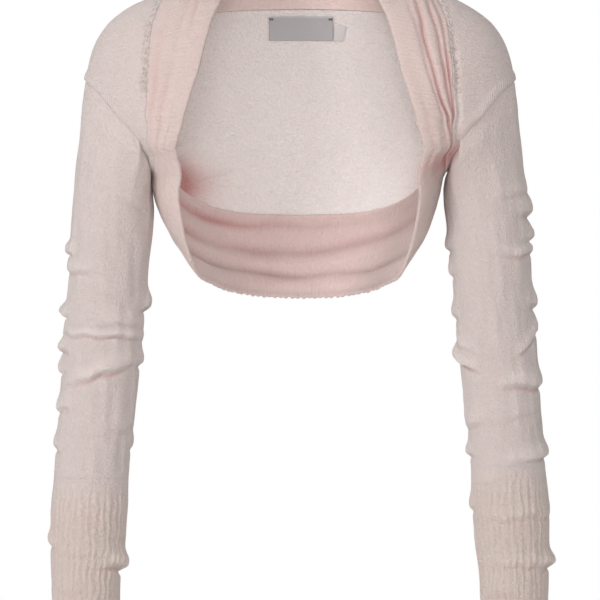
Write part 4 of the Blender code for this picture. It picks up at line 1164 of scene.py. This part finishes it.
class BoleroCloth(bpy.types.PropertyGroup):
    """Sizes and colours of the cloth that a user would change."""

    knit_wall: FloatProperty(name="Knit thickness", description="Wall of the knit, in millimetres",
                             default=1.7, min=0.5, max=2.4)
    band_wall: FloatProperty(name="Band thickness", description="Wall of the doubled band, in millimetres",
                             default=3.0, min=1.0, max=4.0)
    fold_depth: FloatProperty(name="Fold depth", description="How deep the folds are against those drawn",
                              default=1.0, min=0.0, max=1.3, subtype="FACTOR")
    rib_pitch: FloatProperty(name="Band rib pitch", description="Ribs of the band, in millimetres",
                             default=4.3, min=3.0, max=8.0)
    rib_relief: FloatProperty(name="Band rib relief", description="Height of the band's ribs, in millimetres",
                              default=0.16, min=0.0, max=1.0)
    cuff_rib_relief: FloatProperty(name="Cuff rib relief",
                                   description="Height of the cuff's ribs, in millimetres",
                                   default=1.3, min=0.0, max=3.0)
    knit_relief: FloatProperty(name="Knit relief", description="Strength of the relief of loops and slubs",
                               default=0.8, min=0.0, max=1.0, subtype="FACTOR")
    rib_texture: FloatProperty(name="Rib texture", description="Strength of the relief of slubs on the ribs",
                               default=0.5, min=0.0, max=1.0, subtype="FACTOR")
    nap: FloatProperty(name="Nap", description="Brushed nap that catches the light",
                       default=0.35, min=0.0, max=1.0, subtype="FACTOR")
    # painted light: how much paler the crests of folds are painted
    crest_light: FloatProperty(name="Crest light", description="How much paler the crests of folds are",
                               default=0.16, min=0.0, max=0.5, subtype="FACTOR")
    see_through: FloatProperty(name="See-through", description="Light that comes through the cloth",
                               default=0.8, min=0.0, max=1.0, subtype="FACTOR")
    knit_colour: FloatVectorProperty(name="Knit colour", description="Pale greyish pink of the knit",
                                     default=linear("#CFC2BE"), **COLOUR)
    # painted light: the back's knit is given a paler colour than the same knit elsewhere, to light its inner
    # face; its outer face is dimmed back to the knit's tone
    back_colour_painted_light: FloatVectorProperty(name="Back colour", description="Paler knit of the back",
                                     default=linear("#EFE5E2"), **COLOUR)
    rib_colour: FloatVectorProperty(name="Band colour", description="Slightly warmer pink of the band",
                                    default=linear("#CDBBB6"), **COLOUR)
    # painted light: the lower band's rib is given a lighter, pinker colour than the rest of the band, to
    # light its inner face
    hem_colour_painted_light: FloatVectorProperty(name="Lower band colour", description="Pinker rib across the lower back",
                                    default=linear("#D6C0BC"), **COLOUR)
    cuff_colour: FloatVectorProperty(name="Cuff colour", description="Faintly creamy pink of the cuffs",
                                     default=linear("#CABCB5"), **COLOUR)
    deep_colour: FloatVectorProperty(name="Deep colour", description="Pink of the cloth in deep shade",
                                     default=linear("#C28884"), **COLOUR)
    # the gap colour is painted shade in the open gaps of the linked seam
    gap_shade_colour: FloatVectorProperty(name="Seam gap colour", description="Dark of the gaps in a linked seam",
                                    default=linear("#A08478"), **COLOUR)
    label_colour: FloatVectorProperty(name="Label colour", description="Grey satin of the neck label",
                                      default=linear("#ADAAAB"), **COLOUR)
    tab_colour: FloatVectorProperty(name="Tab colour", description="White tape of the tab",
                                    default=linear("#CBC5C3"), **COLOUR)
    thread_colour: FloatVectorProperty(name="Thread colour", description="Dark thread of the stitches",
                                       default=linear("#5B5A5C"), **COLOUR)


class BoleroStage(bpy.types.PropertyGroup):
    """Floor, light and camera."""

    floor_height: FloatProperty(name="Floor height", description="Height of the floor below the shoulders",
                                default=-0.9, unit="LENGTH")
    floor_size: FloatProperty(name="Floor size", description="Side of the square floor",
                              default=2.4, unit="LENGTH")
    floor_colour: FloatVectorProperty(name="Floor colour", description="Pale paint of the floor",
                                      default=linear("#F1EFEE"), **COLOUR)
    surround: FloatProperty(name="Surround", description="Strength of the white surround", default=1.0)
    ceiling: FloatProperty(name="Ceiling light", description="Light from above and below against the walls",
                           default=0.3, subtype="FACTOR")
    dim_side: FloatProperty(name="Dim side", description="Light from the wearer's left against the right",
                            default=0.6, subtype="FACTOR")
    key_power: FloatProperty(name="Key power", description="Power of the large soft light", default=49.0,
                             unit="POWER")
    fill_power: FloatProperty(name="Fill power", description="Power of the soft light from the front",
                              default=59.0, unit="POWER")
    inside_power: FloatProperty(name="Inside power",
                                description="Power of the narrow light on the inside of the back",
                                default=56.0, unit="POWER")
    camera_distance: FloatProperty(name="Camera distance", description="Camera in front of the shoulders",
                                   default=5.0, unit="LENGTH")
    frame_width: FloatProperty(name="Frame width", description="Width that the picture takes in",
                               default=0.6, unit="LENGTH")
    frame_middle: FloatProperty(name="Frame middle", description="Height at the middle of the picture",
                                default=-0.335, unit="LENGTH")


class BOLERO_OT_back(bpy.types.Operator):
    """Make the knitted back"""

    bl_idname = "bolero.back"
    bl_label = "Back"

    def execute(self, context):
        build_back(context.scene.bolero_cloth)
        return {"FINISHED"}


class BOLERO_OT_fronts(bpy.types.Operator):
    """Make the two narrow fronts"""

    bl_idname = "bolero.fronts"
    bl_label = "Fronts"

    def execute(self, context):
        for side in ("left", "right"):
            build_front(context.scene.bolero_cloth, side)
        return {"FINISHED"}


class BOLERO_OT_bands(bpy.types.Operator):
    """Make the ribbed band round the opening, in its four stretches"""

    bl_idname = "bolero.bands"
    bl_label = "Ribbed band"

    def execute(self, context):
        cloth = context.scene.bolero_cloth
        fine = cloth.rib_pitch / 5
        neck = even_rows(NECK_BAND, int(125 / fine), ("seam", "edge"))
        front = front_rows(int(330 / fine))
        hem = even_rows(HEM_BAND, int(200 / fine), ("seam", "edge"))
        # the neck band's negative base shade paints light on its inner face
        build_band(cloth, "band_neck_rib", "band_neck", neck, NECK_VALLEYS, whole=True, base_shade=-0.8)
        build_band(cloth, "band_front_rib_left", "band_front_left", front, FRONT_LEFT_VALLEYS)
        build_band(cloth, "band_front_rib_right", "band_front_right", front, FRONT_RIGHT_VALLEYS, mirror=True)
        build_band(cloth, "band_hem_rib", "band_hem", hem, HEM_VALLEYS, whole=True, frill=0.6)
        return {"FINISHED"}


class BOLERO_OT_sleeves(bpy.types.Operator):
    """Make the two sleeves with their pushed-up folds"""

    bl_idname = "bolero.sleeves"
    bl_label = "Sleeves"

    def execute(self, context):
        for side in ("left", "right"):
            build_sleeve(context.scene.bolero_cloth, side)
        return {"FINISHED"}


class BOLERO_OT_cuffs(bpy.types.Operator):
    """Make the two ribbed cuffs"""

    bl_idname = "bolero.cuffs"
    bl_label = "Cuffs"

    def execute(self, context):
        for side in ("left", "right"):
            build_cuff(context.scene.bolero_cloth, side)
        return {"FINISHED"}


class BOLERO_OT_trim(bpy.types.Operator):
    """Make the bare neck label and the tab"""

    bl_idname = "bolero.trim"
    bl_label = "Label and tab"

    def execute(self, context):
        build_trim(context.scene.bolero_cloth)
        return {"FINISHED"}


class BOLERO_OT_stage(bpy.types.Operator):
    """Make the pale floor, the soft light and the camera"""

    bl_idname = "bolero.stage"
    bl_label = "Stage"

    def execute(self, context):
        stage = context.scene.bolero_stage
        bpy.ops.object.select_all(action="DESELECT")
        bpy.ops.mesh.primitive_plane_add(size=stage.floor_size, location=(0, 0, stage.floor_height))
        floor = context.object
        floor.name = "studio_floor"
        floor.data.materials.append(floor_material(stage.floor_colour))
        add_light("key_light", KEY_LIGHT, stage.key_power)
        add_light("front_fill", FRONT_FILL, stage.fill_power)
        add_narrow_light("inside_light", INSIDE_LIGHT, stage.inside_power)
        context.scene.world = white_surround(stage)
        context.scene.view_settings.view_transform = "Standard"
        bpy.ops.object.camera_add(location=(0, -stage.camera_distance, stage.frame_middle),
                                  rotation=(math.radians(90), 0, 0))
        camera = context.object
        camera.data.sensor_width = SENSOR_WIDTH
        camera.data.lens = SENSOR_WIDTH * stage.camera_distance / stage.frame_width
        context.scene.camera = camera
        return {"FINISHED"}


def white_surround(stage):
    """White studio walls all round at the horizon, with dimmer light from above, below and one side."""
    world = bpy.data.worlds.new("white_surround")
    world.use_nodes = True
    tree = world.node_tree
    way = add_node(tree, "TexCoord").outputs["Generated"]
    x, _, z = add_node(tree, "SeparateXYZ", {0: way}).outputs
    wall = span_node(tree, math_node(tree, "ABSOLUTE", z), 0.12, 0.35, 1.0, stage.ceiling)
    side = span_node(tree, x, 0.15, 0.9, 1.0, stage.dim_side)
    level = math_node(tree, "MULTIPLY", math_node(tree, "MULTIPLY", wall, side), stage.surround)
    tree.links.new(level, tree.nodes["Background"].inputs["Strength"])
    tree.nodes["Background"].inputs["Color"].default_value = linear("#FFFFFF")
    return world


def turned_light(name, kind, lamp, power):
    """A light of a kind at its place, turned to its aim."""
    way = Vector(lamp["aim"]) - Vector(lamp["place"])
    bpy.ops.object.light_add(type=kind, location=lamp["place"],
                             rotation=way.to_track_quat("-Z", "Y").to_euler())
    light = bpy.context.object
    light.name = name
    light.data.energy = power
    return light.data


def add_light(name, lamp, power):
    """A large square soft light."""
    light = turned_light(name, "AREA", lamp, power)
    light.shape = "SQUARE"
    light.size = lamp["size"]


def add_narrow_light(name, lamp, power):
    """A soft-edged narrow beam."""
    light = turned_light(name, "SPOT", lamp, power)
    light.shadow_soft_size = lamp["radius"]
    light.spot_size = math.radians(lamp["spread"])
    light.spot_blend = lamp["blend"]


OPERATORS = (BOLERO_OT_back, BOLERO_OT_fronts, BOLERO_OT_bands, BOLERO_OT_sleeves, BOLERO_OT_cuffs,
             BOLERO_OT_trim, BOLERO_OT_stage)


class BOLERO_PT_sidebar(bpy.types.Panel):
    """The pieces of the bolero and the stage"""

    bl_idname = "BOLERO_PT_sidebar"
    bl_label = "Knitted Bolero"
    bl_space_type = "VIEW_3D"
    bl_region_type = "UI"
    bl_category = "Bolero"

    def draw(self, context):
        for group in (context.scene.bolero_cloth, context.scene.bolero_stage):
            box = self.layout.box()
            for name in group.bl_rna.properties.keys():
                if name not in ("rna_type", "name"):
                    box.prop(group, name)
        for operator in OPERATORS:
            self.layout.operator(operator.bl_idname)


CLASSES = (BoleroCloth, BoleroStage) + OPERATORS + (BOLERO_PT_sidebar,)


def register():
    """Add the classes and the two groups of settings."""
    for item in CLASSES:
        bpy.utils.register_class(item)
    bpy.types.Scene.bolero_cloth = PointerProperty(type=BoleroCloth)
    bpy.types.Scene.bolero_stage = PointerProperty(type=BoleroStage)


def unregister():
    """Take the settings and the classes away again."""
    del bpy.types.Scene.bolero_stage
    del bpy.types.Scene.bolero_cloth
    for item in reversed(CLASSES):
        bpy.utils.unregister_class(item)


def main():
    """Make every piece in order."""
    register()
    bpy.ops.bolero.back()
    bpy.ops.bolero.fronts()
    bpy.ops.bolero.bands()
    bpy.ops.bolero.sleeves()
    bpy.ops.bolero.cuffs()
    bpy.ops.bolero.trim()
    bpy.ops.bolero.stage()


if __name__ == "__main__":
    main()
